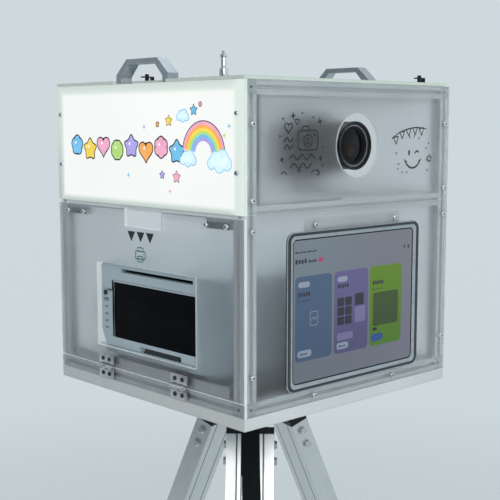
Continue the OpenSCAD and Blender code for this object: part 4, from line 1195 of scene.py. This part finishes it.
# ------------------------------------------------------------------ print door
HINGE_MIDDLES = (322.5, 141.0)
HINGE_LENGTH, HINGE_KNUCKLES = 38.0, 5
HINGE_X, HINGE_Z = -3.4, 38.2
LEAF_HIGH, LEAF_THICK = 19.0, 1.5
STRIKE_MIDDLES, STRIKE_Z, STRIKE_SCREW = (402.0,
                                          58.0), 281.0, 21.5     # last: each screw's way from the middle


def hinge_leaves(side, first, screw_r):
    """One leaf of both hinges: a plate with rounded outer corners, its share of the knuckles as turned
    barrels round the pin line, and two flat screws. side is 1 above the pin and -1 below it."""
    leaf, heads = [], []
    step = HINGE_LENGTH / HINGE_KNUCKLES
    for middle in HINGE_MIDDLES:
        start = middle - HINGE_LENGTH / 2
        line = round_rect_line(HINGE_LENGTH, LEAF_HIGH - 3.3, 1.6, 6, middle,
                               HINGE_Z + side * (3.3 + LEAF_HIGH) / 2)
        leaf.append(plate(SIDE, line, 0.0, LEAF_THICK, 0.35))
        for k in range(first, HINGE_KNUCKLES, 2):
            a, b = start + k * step + 0.15, start + (k + 1) * step - 0.15
            barrel = [(1.55, a), (2.7, a), (3.0, a + 0.3), (3.0, b - 0.3), (2.7, b), (1.55, b)]
            leaf.append(turned(at((HINGE_X, 0, HINGE_Z)), (0, 1, 0), barrel, 32))
            strap = round_rect_line(b - a, 4.2, 0.2, 3, (a + b) / 2, HINGE_Z + side * 2.9)
            leaf.append(plate(SIDE, strap, 0.05, LEAF_THICK))
        for part in (0.28, 0.72):
            origin = at((-LEAF_THICK, start + HINGE_LENGTH * part, HINGE_Z + side * LEAF_HIGH * 0.62))
            r = screw_r
            prof = [(0, -0.4), (r * 0.96, -0.4), (r, 0.1), (r * 0.97, 0.9), (r * 0.7, 1.32), (r * 0.42, 1.38),
                    (r * 0.38, 1.3), (r * 0.38, 0.4), (0, 0.35)]
            heads.append(turned(origin, (-1, 0, 0), prof, 30,
                                lambda a, k: np.where((k > 5) & (k < 8), hexagon(a) * 0.95, 1.0)))
    return leaf, heads


ARROWS_ACROSS, ARROW_HALF, ARROW_TOP, ARROW_FOOT = (253.0, 230.0, 207.0), 9.5, 259, 243.5
DOOR_ICON = (231.0, 223.0)


def door_marks(colours, height):
    """Three arrows that point down to the opening, and a small sheet coming out of a box under them."""
    shapes = []
    for u in ARROWS_ACROSS:
        line = [(u - ARROW_HALF, ARROW_TOP), (u, ARROW_FOOT), (u + ARROW_HALF, ARROW_TOP)]
        shapes.append(plate(SIDE, poly_line(line), 0.02, height * 0.5))
    made_piece("door_marks_bold", shapes, "print_door", "frosted_acrylic",
               flat_ink("door_ink", tuple(colours.marks)))
    u, v = DOOR_ICON
    shapes = [stroke(SIDE, round_rect_line(24, 12, 3, 6, u, v + 1), 2.2, 0.02, height * 0.5, True),
              stroke(SIDE, bend([(u - 7, v + 7), (u - 7, v + 12), (u + 7, v + 12), (u + 7, v + 7)], 3), 2.0,
                     0.02,
                     height * 0.5),
              stroke(SIDE, round_rect_line(13, 8, 1.5, 5, u, v - 5), 1.8, 0.02, height * 0.5, True),
              plate(SIDE, circle_line(1.2, 14, u - 8, v + 3), 0.02, height * 0.5)]
    made_piece("door_marks_icon", shapes, "print_door", "frosted_acrylic",
               flat_ink("icon_ink", tuple(colours.icon)))


class BOOTH_OT_print_door(bpy.types.Operator):
    """Makes the drop-down door's sheet, hinges, strike plates and marks"""
    bl_idname = "booth.print_door"
    bl_label = "Print door"

    def execute(self, context):
        sizes, colours = context.scene.booth_sizes, context.scene.booth_colours
        door = frosted_material("frosted_door", lambda s: s.axis(0), 0.16, 0.46)
        rework("printer_door", door, sizes.sheet_ease / MM, 2, polished_edge_material("door_edge"), 0,
               [(0, SHEET, -HAIR)])
        bright = steel_material("hinge_steel", (0.62, 0.64, 0.66), 0.2)
        dark = steel_material("hinge_screw_steel", (0.09, 0.095, 0.1), 0.3)
        for side, first, node, body in ((1, 1, "door_hinge_leaves", "print_door"),
                                        (-1, 0, "frame_hinge_leaves", "booth")):
            leaf, heads = hinge_leaves(side, first, sizes.hinge_screw_radius / MM)
            made_piece(node + "_made", leaf, body, "stainless", bright, node=node)
            made_piece(node + "_screws", heads, body, "stainless", dark)
        rework("hinge_pins", bright, 0.15)
        plates = [plate(SIDE, round_rect_line(48, 9, 1.2, 5, y, STRIKE_Z), -SHEET - 1.2, -SHEET, 0.2)
                  for y in STRIKE_MIDDLES]
        made_piece("strike_plates_made", plates, "print_door", "stainless",
                   steel_material("strike_steel", (0.3, 0.33, 0.35), 0.42), node="strike_plates")
        places = [((0, y + s * STRIKE_SCREW, STRIKE_Z), (-1, 0, 0)) for y in STRIKE_MIDDLES for s in (-1, 1)]
        screws = [cover_screw(at(place), out, sizes.screw_head_radius / MM, sizes.screw_head_height / MM,
                              SHEET)
                  for place, out in places]
        made_piece("strike_screws", screws, "print_door", "stainless",
                   steel_material("strike_screw_steel", (0.74, 0.76, 0.78), 0.17), 40.0)
        socket_shade_discs("strike_screw_sockets", places, sizes.screw_head_height / MM, "print_door")
        door_marks(colours, sizes.print_height / MM)
        return {"FINISHED"}


# ------------------------------------------------------------------ tablet
TABLET = (227.5, 154.0)
BEZEL_HIGH, SLOPE_HALF = 2.5, (140.4, 110.2)        # last: half the slope's outer width and height


def ring_between(plane, rings):
    """Closed rings of equal point counts, joined in order and back to the first: a frame with any section."""
    n = len(rings[0][0])
    pts = [np.column_stack([np.asarray(line), np.full(n, h)]) for line, h in rings]
    return plane.put(np.concatenate(pts)), grid_faces(len(rings), n, True, True)


def tablet_bezel():
    """Bezel between two rounded rectangles, with an eased outer edge and a bright inner slope; a band of the eased
    outer edge takes the same bright metal as a painted highlight.
    """
    u, v = TABLET
    out = [(296, 231, 14, 0.0), (296, 231, 14, 1.2), (295.2, 230.2, 13.6, 1.9), (293.4, 228.4, 12.8, 2.35),
           (291.6, 226.6, 12, BEZEL_HIGH)]
    inn = [(282.0, 221.5, 11, BEZEL_HIGH), (280.6, 220.2, 10.6, 2.3), (271.2, 211.2, 8.4, 0.5),
           (270, 210, 8, 0.35), (270, 210, 8, 0.0)]
    rings = [(round_rect_line(w, h, r, 9, u, v), high) for w, h, r, high in out + inn]
    me = new_mesh("tablet_bezel", [ring_between(FRONT, rings)], 24.0)
    bright = steel_material("bezel_chamfer_and_rim_highlight", (0.46, 0.5, 0.54), 0.26, 0.15)
    ob = piece("tablet_bezel", me, "booth", "dark_surround", surround_material(), bright)
    centre = np.empty(len(me.polygons) * 3)
    me.polygons.foreach_get("center", centre)
    local = (centre.reshape(-1, 3) - CORNER) / MM
    du, dv, high = np.abs(local[:, 0] - u), np.abs(local[:, 2] - v), -local[:, 1]
    inner = (du < SLOPE_HALF[0]) & (dv < SLOPE_HALF[1]) & (high < BEZEL_HIGH - 0.05)
    # painted highlight: this band of the outer easing takes the bright chamfer metal
    rim = (high < 2.2) & (high > 1.3) & ~inner
    me.polygons.foreach_set("material_index", (inner | rim).astype(np.int32))
    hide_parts("tablet_surround")


def screen_marks():
    """Three tall cards with small tiles on them, header bars and pill keys: generic blocks, no lettering."""
    def box(u0, u1, v0, v1, r=2.0):
        return round_rect_line(u1 - u0, v1 - v0, min(r, (u1 - u0) / 2.01, (v1 - v0) / 2.01), 6, (u0 + u1) / 2,
                               (v0 + v1) / 2)
    base = -0.2
    cards = {
        "card_blue": ((0.032, 0.06, 0.112), (0.045, 0.08, 0.145), [box(98, 175, 81.5, 205, 7)]),
        "card_violet": ((0.05, 0.045, 0.118), (0.09, 0.078, 0.19), [box(180, 256, 81.5, 205, 7)]),
        "card_green": ((0.045, 0.12, 0.002), (0.08, 0.17, 0.004), [box(260, 336, 81.5, 205, 7)]),
        "square_green": ((0.018, 0.042, 0.006), (0.028, 0.058, 0.009), [box(268, 328, 112, 164, 4)]),
        "tile_violet": ((0.11, 0.10, 0.20), (0.14, 0.125, 0.24),
                        [box(187, 222, 101, 112, 2), box(226, 250, 124, 148, 2)]),
        "pill_blue": ((0.006, 0.045, 0.19), (0.01, 0.07, 0.27), [box(264, 292, 88, 100, 6)]),
        "tag_red": ((0.22, 0.03, 0.09), (0.28, 0.045, 0.11), [box(145, 156, 223, 230, 3.2)]),
    }
    for name, (low, high, lines) in cards.items():
        lift = 0.06 if name.startswith("card") else 0.1
        shapes = [plate(FRONT, line, base, base + lift) for line in lines]
        piece("screen_" + name, new_mesh("screen_" + name, shapes), "booth", "black_plastic",
              screen_ink("screen_ink_" + name, low, high))
    dark = [box(187 + 17 * i, 202 + 17 * i, 124 + 14.2 * j, 136.6 + 14.2 * j, 1.6) for i in range(2)
            for j in range(3)]
    dark += [box(226, 246, 150, 168, 2), box(268, 278, 105, 110, 1.5)]
    for u0, v0, count, pitch, high in ((98, 223.5, 4, 6.2, 6.6), (125, 223.5, 5, 3.4, 4.6),
                                       (98, 238.5, 10, 4.4, 3.0), (104, 176, 5, 5.2, 6.4),
                                       (187, 179.5, 5, 5.2, 6.4), (267, 176.5, 5, 5.2, 6.4),
                                       (104, 168.5, 9, 3.1, 2.0), (267, 168.5, 9, 3.1, 2.0),
                                       (340, 228, 1, 5, 4), (350, 227, 1, 5, 5),
                                       (109, 90.5, 4, 3.6, 3), (191, 90.5, 4, 3.6, 3)):
        dark += [box(u0 + pitch * k, u0 + pitch * (k + 0.72), v0 + 0.6 * (k % 2), v0 + high - 0.5 * (k % 3),
                     0.5)
                 for k in range(count)]
    shapes = [plate(FRONT, line, base, base + 0.12) for line in dark]
    made_piece("screen_tiles", shapes, "booth", "black_plastic",
               screen_ink("screen_ink_tiles", (0.006, 0.008, 0.014), (0.016, 0.018, 0.03)))
    pale = [box(104, 128, 189, 197, 4), box(187, 209, 189, 197, 4), box(103, 132, 87.5, 97.5, 4.6),
            box(186, 212, 87.5, 97.5, 4.6)]
    shapes = [plate(FRONT, line, base, base + 0.1) for line in pale]
    shapes.append(stroke(FRONT, round_rect_line(16, 20, 3, 6, 137, 142), 0.9, base, base + 0.1, True))
    shapes.append(stroke(FRONT, bend([(131, 138), (135, 144), (139, 140), (143, 146)], 4), 0.9, base,
                         base + 0.1))
    made_piece("screen_pale", shapes, "booth", "black_plastic",
               screen_ink("screen_ink_pale", (0.16, 0.2, 0.27), (0.2, 0.235, 0.31)))


class BOOTH_OT_tablet(bpy.types.Operator):
    """Makes the tablet's bezel, body, side key and lit screen"""
    bl_idname = "booth.tablet"
    bl_label = "Tablet"

    def execute(self, context):
        u, v = TABLET
        tablet_bezel()
        rework("tablet", dark_plastic_material("tablet_back", (0.05, 0.052, 0.056), 0.35), 1.0, 3)
        rework("tablet_power_button", steel_material("key_steel", (0.5, 0.52, 0.54), 0.3), 0.2)
        border = plate(FRONT, round_rect_line(269.6, 209.6, 7.8, 9, u, v), -0.34, -0.26, 0.03)
        made_piece("tablet_border", [border], "booth", "black_plastic",
                   dark_plastic_material("border_black", (0.004, 0.004, 0.005), 0.2))
        ground = plate(FRONT, round_rect_line(266.0, 206.0, 5.5, 9, u, v), -0.28, -0.2, 0.03)
        made_piece("tablet_screen", [ground], "booth", "black_plastic", screen_material())
        screen_marks()
        return {"FINISHED"}


# ------------------------------------------------------------------ camera
LENS_FRONT = 8.0        # how far behind the front sheet's face the lens starts
RING_BORE = 31.1


def ribs(count, first, last, depth):
    """Radius factor that draws square-shouldered ribs on the rows first to last of a turned profile."""
    def swell(a, k):
        wave = np.clip(np.sin(a * count) * 2.2, -1, 1) * 0.5 + 0.5
        return np.where((k >= first) & (k <= last), 1.0 - depth * (1 - wave), 1.0)
    return swell


def grip_ring(name, node, body, y0, length, r, count, mat):
    """A lens ring: chamfered ends, a ribbed middle, and the bore that runs on the barrel."""
    half = [(RING_BORE, 0), (r - 0.9, 0), (r, 0.7), (r, 1.9), (r, 2.3), (r, 2.35)]
    prof = half + [(radius, length - along) for radius, along in half[::-1]]
    shape = turned(at((LENS[0], y0, LENS[1])), (0, 1, 0), prof, count * 8, ribs(count, 4, 7, 0.025))
    made_piece(name, [shape], body, "black_rubber", mat, 40.0, node)


class BOOTH_OT_camera(bpy.types.Operator):
    """Makes the camera body, its lens with ribbed rings and coated glass, the shutter button and the dial"""
    bl_idname = "booth.camera"
    bl_label = "Camera and lens"

    def execute(self, context):
        count = context.scene.booth_sizes.ring_ribs
        body = dark_plastic_material("camera_skin", (0.018, 0.018, 0.02), 0.5, 380.0, 0.45)
        rework("camera_body", body, 1.6, 3)
        rework("mode_dial", dark_plastic_material("dial_plastic"), 0.3)
        rework("shutter_button", steel_material("shutter_steel"), 0.4)
        origin = at((LENS[0], LENS_FRONT, LENS[1]))
        barrel = dark_plastic_material("barrel_plastic", (0.014, 0.014, 0.015), 0.34, 1200.0, 0.08)
        outer = [(33.0, 0.6), (33.3, 0.1), (34.0, 0.0), (35.3, 0.0), (35.9, 0.5), (36.0, 1.2), (36.0, 5.4),
                 (35.6, 5.8),
                 (35.0, 6.0), (35.0, 15.95), (31.0, 15.95), (31.0, 32.05), (35.0, 32.05), (35.0, 35.95),
                 (31.0, 35.95),
                 (31.0, 60.05), (34.0, 60.05), (34.0, 76.0), (33.2, 82.0), (32.0, 83.95), (27.05, 83.95),
                 (27.05, 15.2),
                 (27.05, 6.0), (28.2, 5.6), (28.2, 4.9), (30.0, 4.5), (30.0, 3.9), (31.6, 3.5), (31.6, 2.8),
                 (33.0, 2.4)]
        made_piece("lens_barrel_made", [turned(origin, (0, 1, 0), outer, 96)], "booth", "black_plastic",
                   barrel, 28.0, "lens_barrel")
        silver = [turned(origin, (0, 1, 0),
                         [(29.6, 4.05), (30.2, 3.7), (30.6, 3.75), (30.6, 4.3), (29.6, 4.4)], 96),
                  turned(origin, (0, 1, 0), [(35.95, 5.45), (36.0, 5.5), (36.0, 5.95), (35.95, 5.97),
                                             (35.0, 5.98),
                                             (35.0, 5.45)], 96)]
        made_piece("lens_trim", silver, "booth", "black_plastic",
                   steel_material("trim_silver", (0.45, 0.46, 0.48), 0.25))
        rubber = rubber_material("ring_rubber")
        grip_ring("focus_ring_made", "lens_focus_ring", "focus_ring", 24.0, 16.0, 35.5, count, rubber)
        grip_ring("zoom_ring_made", "lens_zoom_ring", "zoom_ring", 44.0, 24.0, 37.0, count, rubber)
        r = np.linspace(0, 24.5, 14)
        bulge = [(float(x), 9.0 - 2.5 + 2.5 * float(x / 24.5) ** 2) for x in r]
        prof = bulge + [(25.2, 9.2), (26.0, 8.6), (26.9, 8.6), (26.95, 9.0), (26.95, 14.9), (0.0, 14.9)]
        made_piece("lens_glass_made", [turned(origin, (0, 1, 0), prof, 96)], "booth", "lens_glass",
                   lens_glass_material(), 30.0, "lens_glass")
        return {"FINISHED"}


# ------------------------------------------------------------------ printer
PRINTER_FACE = -7.0     # the drawer's front, out from the door's outer face


class BOOTH_OT_printer(bpy.types.Operator):
    """Finishes the printer's shell, drawer, smoked pane and key, and adds its row of marks"""
    bl_idname = "booth.printer"
    bl_label = "Printer"

    def execute(self, context):
        ease = context.scene.booth_sizes.shell_ease / MM
        shell = printer_shell_material()
        rework("printer_housing", shell, ease, 3, cuts=[((7.0, 97.5, 0.0), (-33.5, -21.0, 0.0))])
        rework("printer_drawer", shell, 0.8, 3)
        rework("printer_drawer_window", dark_window_material(), 0.25)
        rework("printer_power_button", steel_material("key_shell", (0.42, 0.47, 0.5), 0.35), 0.4, 3)
        face = PRINTER_FACE
        marks = []
        for z in (132.7, 120.9, 109.7, 99.1):
            for k in range(3):
                marks.append(plate(SIDE, round_rect_line(1.5, 3.4 - 0.7 * (k % 2), 0.5, 4, 327.6 + 2.6 * k,
                                                         z),
                                   face - 0.05, face + 0.12))
        marks.append(stroke(SIDE, arc(331.5, 155, 3.2, 0, 359, 22), 1.2, face - 0.05, face + 0.12, True))
        made_piece("printer_marks", marks, "printer_tray", "printer_shell",
                   flat_ink("mark_dark", (0.02, 0.026, 0.03)))
        grip = plate(SIDE, poly_line([(150, 70.9), (240, 70.9), (234, 78.2), (156, 78.2)]), face - 5.95,
                     face - 3.2, 0.3)
        made_piece("drawer_grip", [grip], "printer_tray", "printer_shell",
                   flat_ink("grip_dark", (0.014, 0.024, 0.03), 0.35))
        # painted shadow: dark strokes along the drawer's groove and down its rim
        groove_shade = stroke(SIDE, bend([(326, 161), (312.5, 161), (312.5, 176.5)], 3), 1.5, face - 0.05,
                        face + 0.02)
        rim = stroke(SIDE, poly_line([(310.6, 87), (310.6, 130), (310.6, 173)]), 3.4, face - 0.05,
                     face + 0.02)
        made_piece("drawer_shadow_lines", [groove_shade, rim], "printer_tray", "printer_shell",
                   flat_ink("shadow_line_dark", (0.012, 0.02, 0.026), 0.5))
        return {"FINISHED"}


# ------------------------------------------------------------------ rear
class BOOTH_OT_inlet(bpy.types.Operator):
    """Finishes the mains inlet on the rear, its three blades and the rocker switch"""
    bl_idname = "booth.inlet"
    bl_label = "Mains inlet"

    def execute(self, context):
        plastic = dark_plastic_material("inlet_plastic", (0.014, 0.014, 0.015), 0.35)
        rework("power_inlet", plastic, 0.5)
        rework("rocker_switch", dark_plastic_material("rocker_plastic", (0.02, 0.02, 0.022), 0.28), 0.5, 3)
        rear = Plane((1, 0, 0), (0, 0, 1), (0, 1, 0), (0, 445, 0))
        blades = [plate(rear, round_rect_line(4.0, 1.6, 0.6, 4, 116 + du, 104 + dv)[::-1], -14.2, -4.0, 0.3)
                  for du, dv in ((-7, -2), (7, -2), (0, 3.4))]
        made_piece("inlet_blades", blades, "booth", "stainless",
                   steel_material("blade_steel", (0.8, 0.78, 0.7), 0.2))
        return {"FINISHED"}


# ------------------------------------------------------------------ top fittings
STUD_AT = (164, 225)


class BOOTH_OT_top_fittings(bpy.types.Operator):
    """Finishes the carrying handles, the plated lamp stud and the clips on the top sheet"""
    bl_idname = "booth.top_fittings"
    bl_label = "Handles, lamp stud and clips"

    def execute(self, context):
        rework("carry_handles", anodised_material(), 0.9, 3)
        rework("top_clips", dark_plastic_material("clip_plastic", (0.012, 0.012, 0.013), 0.32), 0.4)
        prof = [(0, 0), (7.9, 0), (7.9, 1.4), (7.5, 1.9), (7.5, 2.6), (7.9, 3.0), (7.9, 9.6), (7.2, 10.2),
                (7.2, 12.0),
                (7.9, 12.6), (7.9, 20.6), (7.3, 22.4), (6.4, 23.0), (4.9, 23.2), (4.9, 37.0), (4.5, 38.4),
                (4.5, 39.2),
                (5.6, 39.6), (6.0, 40.2), (6.0, 43.8), (5.4, 44.8), (3.4, 45.2), (2.9, 45.6), (2.9, 50.2),
                (2.2, 51.0), (0, 51.0)]
        made_piece("lamp_stud", [turned(at((*STUD_AT, BOX_H)), (0, 0, 1), prof, 56)], "booth", "chrome",
                   steel_material("bright_plate", (0.82, 0.83, 0.84), 0.1, 0.25), 28.0, "light_spigot")
        return {"FINISHED"}


# ------------------------------------------------------------------ stand
def leg_turned(leg, origin, direction, profile, steps=48, swell=None):
    """A turned shape placed in leg millimetres."""
    way = np.asarray(direction, float) @ np.array([leg.across, leg.out, leg.down])
    return turned(leg.put(origin), way, profile, steps, swell)


LEG_HALF, LEG_FACE = 38.5, 16.0     # half the leg's width, and its front face in front of the pin
BOLTS_DOWN = (42.0, 68.0)


def leg_bolts(number, mat):
    """Two through bolts: washers, hexagon heads with chamfered corners, and domed ends."""
    leg = LegFrame(number)
    shapes = []
    head = [(6.9, 0.0), (7.0, 0.3), (7.0, 1.1), (6.6, 1.25), (5.75, 1.3), (5.9, 1.7), (5.9, 4.2), (5.2, 4.95),
            (3.6, 5.0), (3.4, 4.6), (0, 4.5)]
    shank = [(0, -38), (3.9, -38), (3.9, -0.2)]
    for down in BOLTS_DOWN:
        for side, behind in ((-1, [(0, 0.0)]), (1, shank)):
            six = len(behind) + 4       # the first of the three rows that are a hexagon
            shapes.append(leg_turned(leg, (side * LEG_HALF, 0, down), (side, 0, 0), behind + head, 36,
                                     lambda a, k, six=six: np.where((k >= six) & (k < six + 3), hexagon(a),
                                                                    1.0)))
    node = "leg_%d_bolts" % number
    made_piece(node + "_made", shapes, "leg_%d" % number, "stainless", mat, 30.0, node)


STRAP_HALF, STRAP_THICK, STRAP_LENGTH = 14.65, 2.2, 430.0
STRAP_TILT = math.radians(1.75)
STRAP_TOP = 16.0            # how far down from the hinge pin the strap starts


def strap_mesh():
    """Webbing: a flat section with rounded edges carried down the leg, a little askew, waving by a
    fraction of a millimetre, with its end folded back and riveted."""
    leg = LegFrame(1)
    a = np.linspace(0, TAU, 28, endpoint=False)
    across = np.sign(np.cos(a)) * np.abs(np.cos(a)) ** 0.35
    out = np.sign(np.sin(a)) * np.abs(np.sin(a)) ** 0.6

    def ribbon(d0, d1, low, high, edge=0.0):
        d = np.linspace(d0, d1, 120)
        ripple = 0.05 * np.sin(d / 9.0) + 0.04 * np.sin(d / 23.0)
        wide = STRAP_HALF - edge + 0.12 * np.sin(d * 1.7)
        u = across[None] * wide[:, None]
        o = LEG_FACE + (low + high) / 2 + out[None] * (high - low) / 2 * 0.94 + np.abs(ripple)[:, None] * 0.4
        dd = d[:, None] * np.ones(len(a))[None]
        x = u * math.cos(STRAP_TILT) - dd * math.sin(STRAP_TILT)
        z = STRAP_TOP + dd * math.cos(STRAP_TILT) + u * math.sin(STRAP_TILT)
        pts = leg.put(np.stack([x, o, z], 2).reshape(-1, 3))
        faces = grid_faces(len(d), len(a), wrap_cols=True).tolist()
        faces.append(list(range(len(a)))[::-1])
        faces.append([(len(d) - 1) * len(a) + k for k in range(len(a))])
        return pts, faces
    end = STRAP_LENGTH
    return leg, [ribbon(0.5, end, 0.05, STRAP_THICK),
                 ribbon(end - 45, end - 0.4, STRAP_THICK * 0.98, 2 * STRAP_THICK, 0.3)]


class BOOTH_OT_stand(bpy.types.Operator):
    """Makes the stand: head and castings, slotted leg rails, bolts, slides, feet, knobs and strap"""
    bl_idname = "booth.stand"
    bl_label = "Folding stand"

    def execute(self, context):
        ease = context.scene.booth_sizes.casting_ease / MM
        enamel = casting_material()
        rework("tripod_head", enamel, ease, 3)
        rework("head_screw", dark_plastic_material("screw_grip", (0.02, 0.02, 0.021), 0.45), 0.8)
        bolt = steel_material("bolt_steel", (0.6, 0.61, 0.63), 0.28)
        rubber = rubber_material("foot_rubber")
        knob = dark_plastic_material("knob_plastic", (0.016, 0.016, 0.017), 0.38)
        for number in (1, 2, 3):
            metal = leg_material(number)
            rework("leg_%d_castings" % number, enamel, ease * 0.7, 2)
            rework("leg_%d_rails" % number, metal, 0.5)
            rework("leg_%d_slider" % number, metal, 0.8)
            rework("leg_%d_foot" % number, rubber, 0.8)
            rework("leg_%d_knob" % number, knob, 1.2, 3)
            leg_bolts(number, bolt)
        leg, shapes = strap_mesh()
        made_piece("leg_strap_made", shapes, "leg_1", "webbing", webbing_material(), 50.0, "leg_strap")
        dome = [(0, 0.1), (4.3, 0.1), (4.5, 0.4), (4.3, 1.1), (3.0, 1.9), (1.4, 2.15), (0, 2.2)]
        rivets = []
        for d in (STRAP_LENGTH - 8, STRAP_LENGTH - 36):
            place = (-d * math.sin(STRAP_TILT), LEG_FACE + 4.2, STRAP_TOP + d * math.cos(STRAP_TILT))
            rivets.append(leg_turned(leg, place, (0, 1, 0), dome, 32))
        made_piece("strap_rivets", rivets, "leg_1", "webbing", bolt)
        return {"FINISHED"}


# ------------------------------------------------------------------ hand-drawn marks
def front_marks(colour, height):
    """Pen marks on the upper front sheet: a box camera, sparks, hearts and waves left of the lens, and a
    winking smile with rays and pennants right of it. Each is a thin band along a smooth path."""
    low, high = 0.02, height * 0.5
    pen = []

    def draw(points, width=1.9, n=14, closed=False):
        pen.append(stroke(FRONT, bend(points, n), width, low, high, closed))

    def line(path, width=1.9, closed=False):
        pen.append(stroke(FRONT, path, width, low, high, closed))
    # left group
    line(round_rect_line(40, 27, 6, 7, 122, 398), 2.4, True)
    line(circle_line(8.6, 40, 122, 397), 2.2, True)
    line(circle_line(3.6, 24, 122, 397), 1.7, True)
    draw([(110, 412), (113, 417), (121, 417), (125, 412)], 2.2)
    pen.append(plate(FRONT, circle_line(1.6, 14, 136, 405.5), low, high))
    draw([(74, 396), (80, 402), (86, 396), (92, 402)], 2.4)
    draw([(74, 386), (80, 392), (86, 386), (92, 392)], 2.4)
    line(heart_line(15, 83, 416)[::-1], 2.0, True)
    line(heart_line(9, 100, 424)[::-1], 1.6, True)
    for u, v, size in ((92, 432, 6), (146, 424, 7), (70, 372, 5), (148, 372, 6), (104, 356, 4.5)):
        for k in range(4):
            a = math.radians(45 * k + 10)
            d = np.array([math.cos(a), math.sin(a)]) * size * (1.0 if k % 2 == 0 else 0.55)
            t = np.linspace(-1, 1, 9)[:, None]
            line(np.array([u, v]) + t * d, 1.4)
    draw([(84, 372), (92, 378), (101, 371), (110, 378), (119, 371), (128, 378), (137, 372)], 2.4)
    draw([(86, 360), (94, 366), (103, 359), (112, 366), (121, 359), (130, 366)], 2.0)
    draw([(128, 352), (138, 356), (146, 350)], 1.8)
    draw([(141, 356.5), (146, 350), (139, 348.6)], 1.8)
    draw([(68, 352), (74, 355), (80, 351)], 1.6)
    for u, v in ((72, 428), (110, 436), (132, 430), (152, 388), (66, 404), (152, 362)):
        pen.append(plate(FRONT, circle_line(1.5, 14, u, v), low, high))
    # right group
    for k, (u, v) in enumerate(((316, 398), (331, 406), (347, 410), (363, 412), (379, 411))):
        top = [(u - 6, v + 2), (u + 6, v + 3.4), (u + 0.8, v - 8.5)]
        line(np.vstack([np.linspace(top[i], top[(i + 1) % 3], 10)[:-1] for i in range(3)]), 1.9, True)
    draw([(306, 398), (323, 406.5), (340, 411.5), (358, 414.4), (375, 414.6), (392, 412.5)], 1.7)
    line(arc(358, 371, 19.5, 200, 340, 40, 0.96), 3.0)
    draw([(337, 366.5), (340, 363), (344, 363)], 2.0)
    draw([(379, 366.5), (376, 363), (372, 363)], 2.0)
    pen.append(plate(FRONT, round_rect_line(4.2, 8.4, 2.0, 6, 349, 376), low, high))
    draw([(363, 374.5), (368, 378.5), (373.5, 376)], 2.6)
    line(star_line(6.4, 0.45, 5, 400, 366)[::-1], 1.6, True)
    for a, r0, r1 in ((62, 30, 36), (84, 29, 36), (104, 29, 35), (22, 33, 39), (-8, 33, 39), (196, 33, 39),
                      (222, 31, 37)):
        ca, sa = math.cos(math.radians(a)), math.sin(math.radians(a))
        line(np.array([[358 + r * ca, 369 + r * sa] for r in np.linspace(r0, r1, 6)]), 1.7)
    for u, v in ((398, 390), (318, 376), (322, 352), (395, 348), (344, 346)):
        pen.append(plate(FRONT, circle_line(1.5, 14, u, v), low, high))
    made_piece("front_pen_marks", pen, "booth", "frosted_acrylic",
               flat_ink("pen_ink", colour, 0.45))


class BOOTH_OT_front_marks(bpy.types.Operator):
    """Draws the pen marks either side of the lens"""
    bl_idname = "booth.front_marks"
    bl_label = "Hand-drawn marks"

    def execute(self, context):
        front_marks(tuple(context.scene.booth_colours.pen), context.scene.booth_sizes.print_height / MM)
        return {"FINISHED"}


# ------------------------------------------------------------------ panel and run
SETTINGS = (("booth_sizes", BoothSizes), ("booth_colours", BoothColours), ("booth_lights", BoothLights))
OPERATORS = (
    BOOTH_OT_stage, BOOTH_OT_frame_bars, BOOTH_OT_boards, BOOTH_OT_sheets, BOOTH_OT_sign,
    BOOTH_OT_cover_screws,
    BOOTH_OT_print_door, BOOTH_OT_tablet, BOOTH_OT_camera, BOOTH_OT_printer, BOOTH_OT_inlet,
    BOOTH_OT_top_fittings,
    BOOTH_OT_stand, BOOTH_OT_front_marks,
)


class BOOTH_PT_panel(bpy.types.Panel):
    """Lists every part of the booth that can be made, and its settings"""
    bl_idname = "BOOTH_PT_panel"
    bl_label = "Photo booth"
    bl_space_type = "VIEW_3D"
    bl_region_type = "UI"
    bl_category = "Booth"

    def draw(self, context):
        column = self.layout.column(align=True)
        for operator in OPERATORS:
            column.operator(operator.bl_idname, text=operator.bl_label)
        for name, group in SETTINGS:
            box = self.layout.box()
            for key in group.__annotations__:
                box.prop(getattr(context.scene, name), key)


CLASSES = (BoothSizes, BoothColours, BoothLights) + OPERATORS + (BOOTH_PT_panel,)


def register():
    for cls in CLASSES:
        bpy.utils.register_class(cls)
    for name, group in SETTINGS:
        setattr(bpy.types.Scene, name, PointerProperty(type=group))


def unregister():
    for name, _ in SETTINGS:
        delattr(bpy.types.Scene, name)
    for cls in reversed(CLASSES):
        bpy.utils.unregister_class(cls)


def main():
    register()
    for operator in OPERATORS:
        group, name = operator.bl_idname.split(".")
        getattr(getattr(bpy.ops, group), name)()


if __name__ == "__main__":
    main()
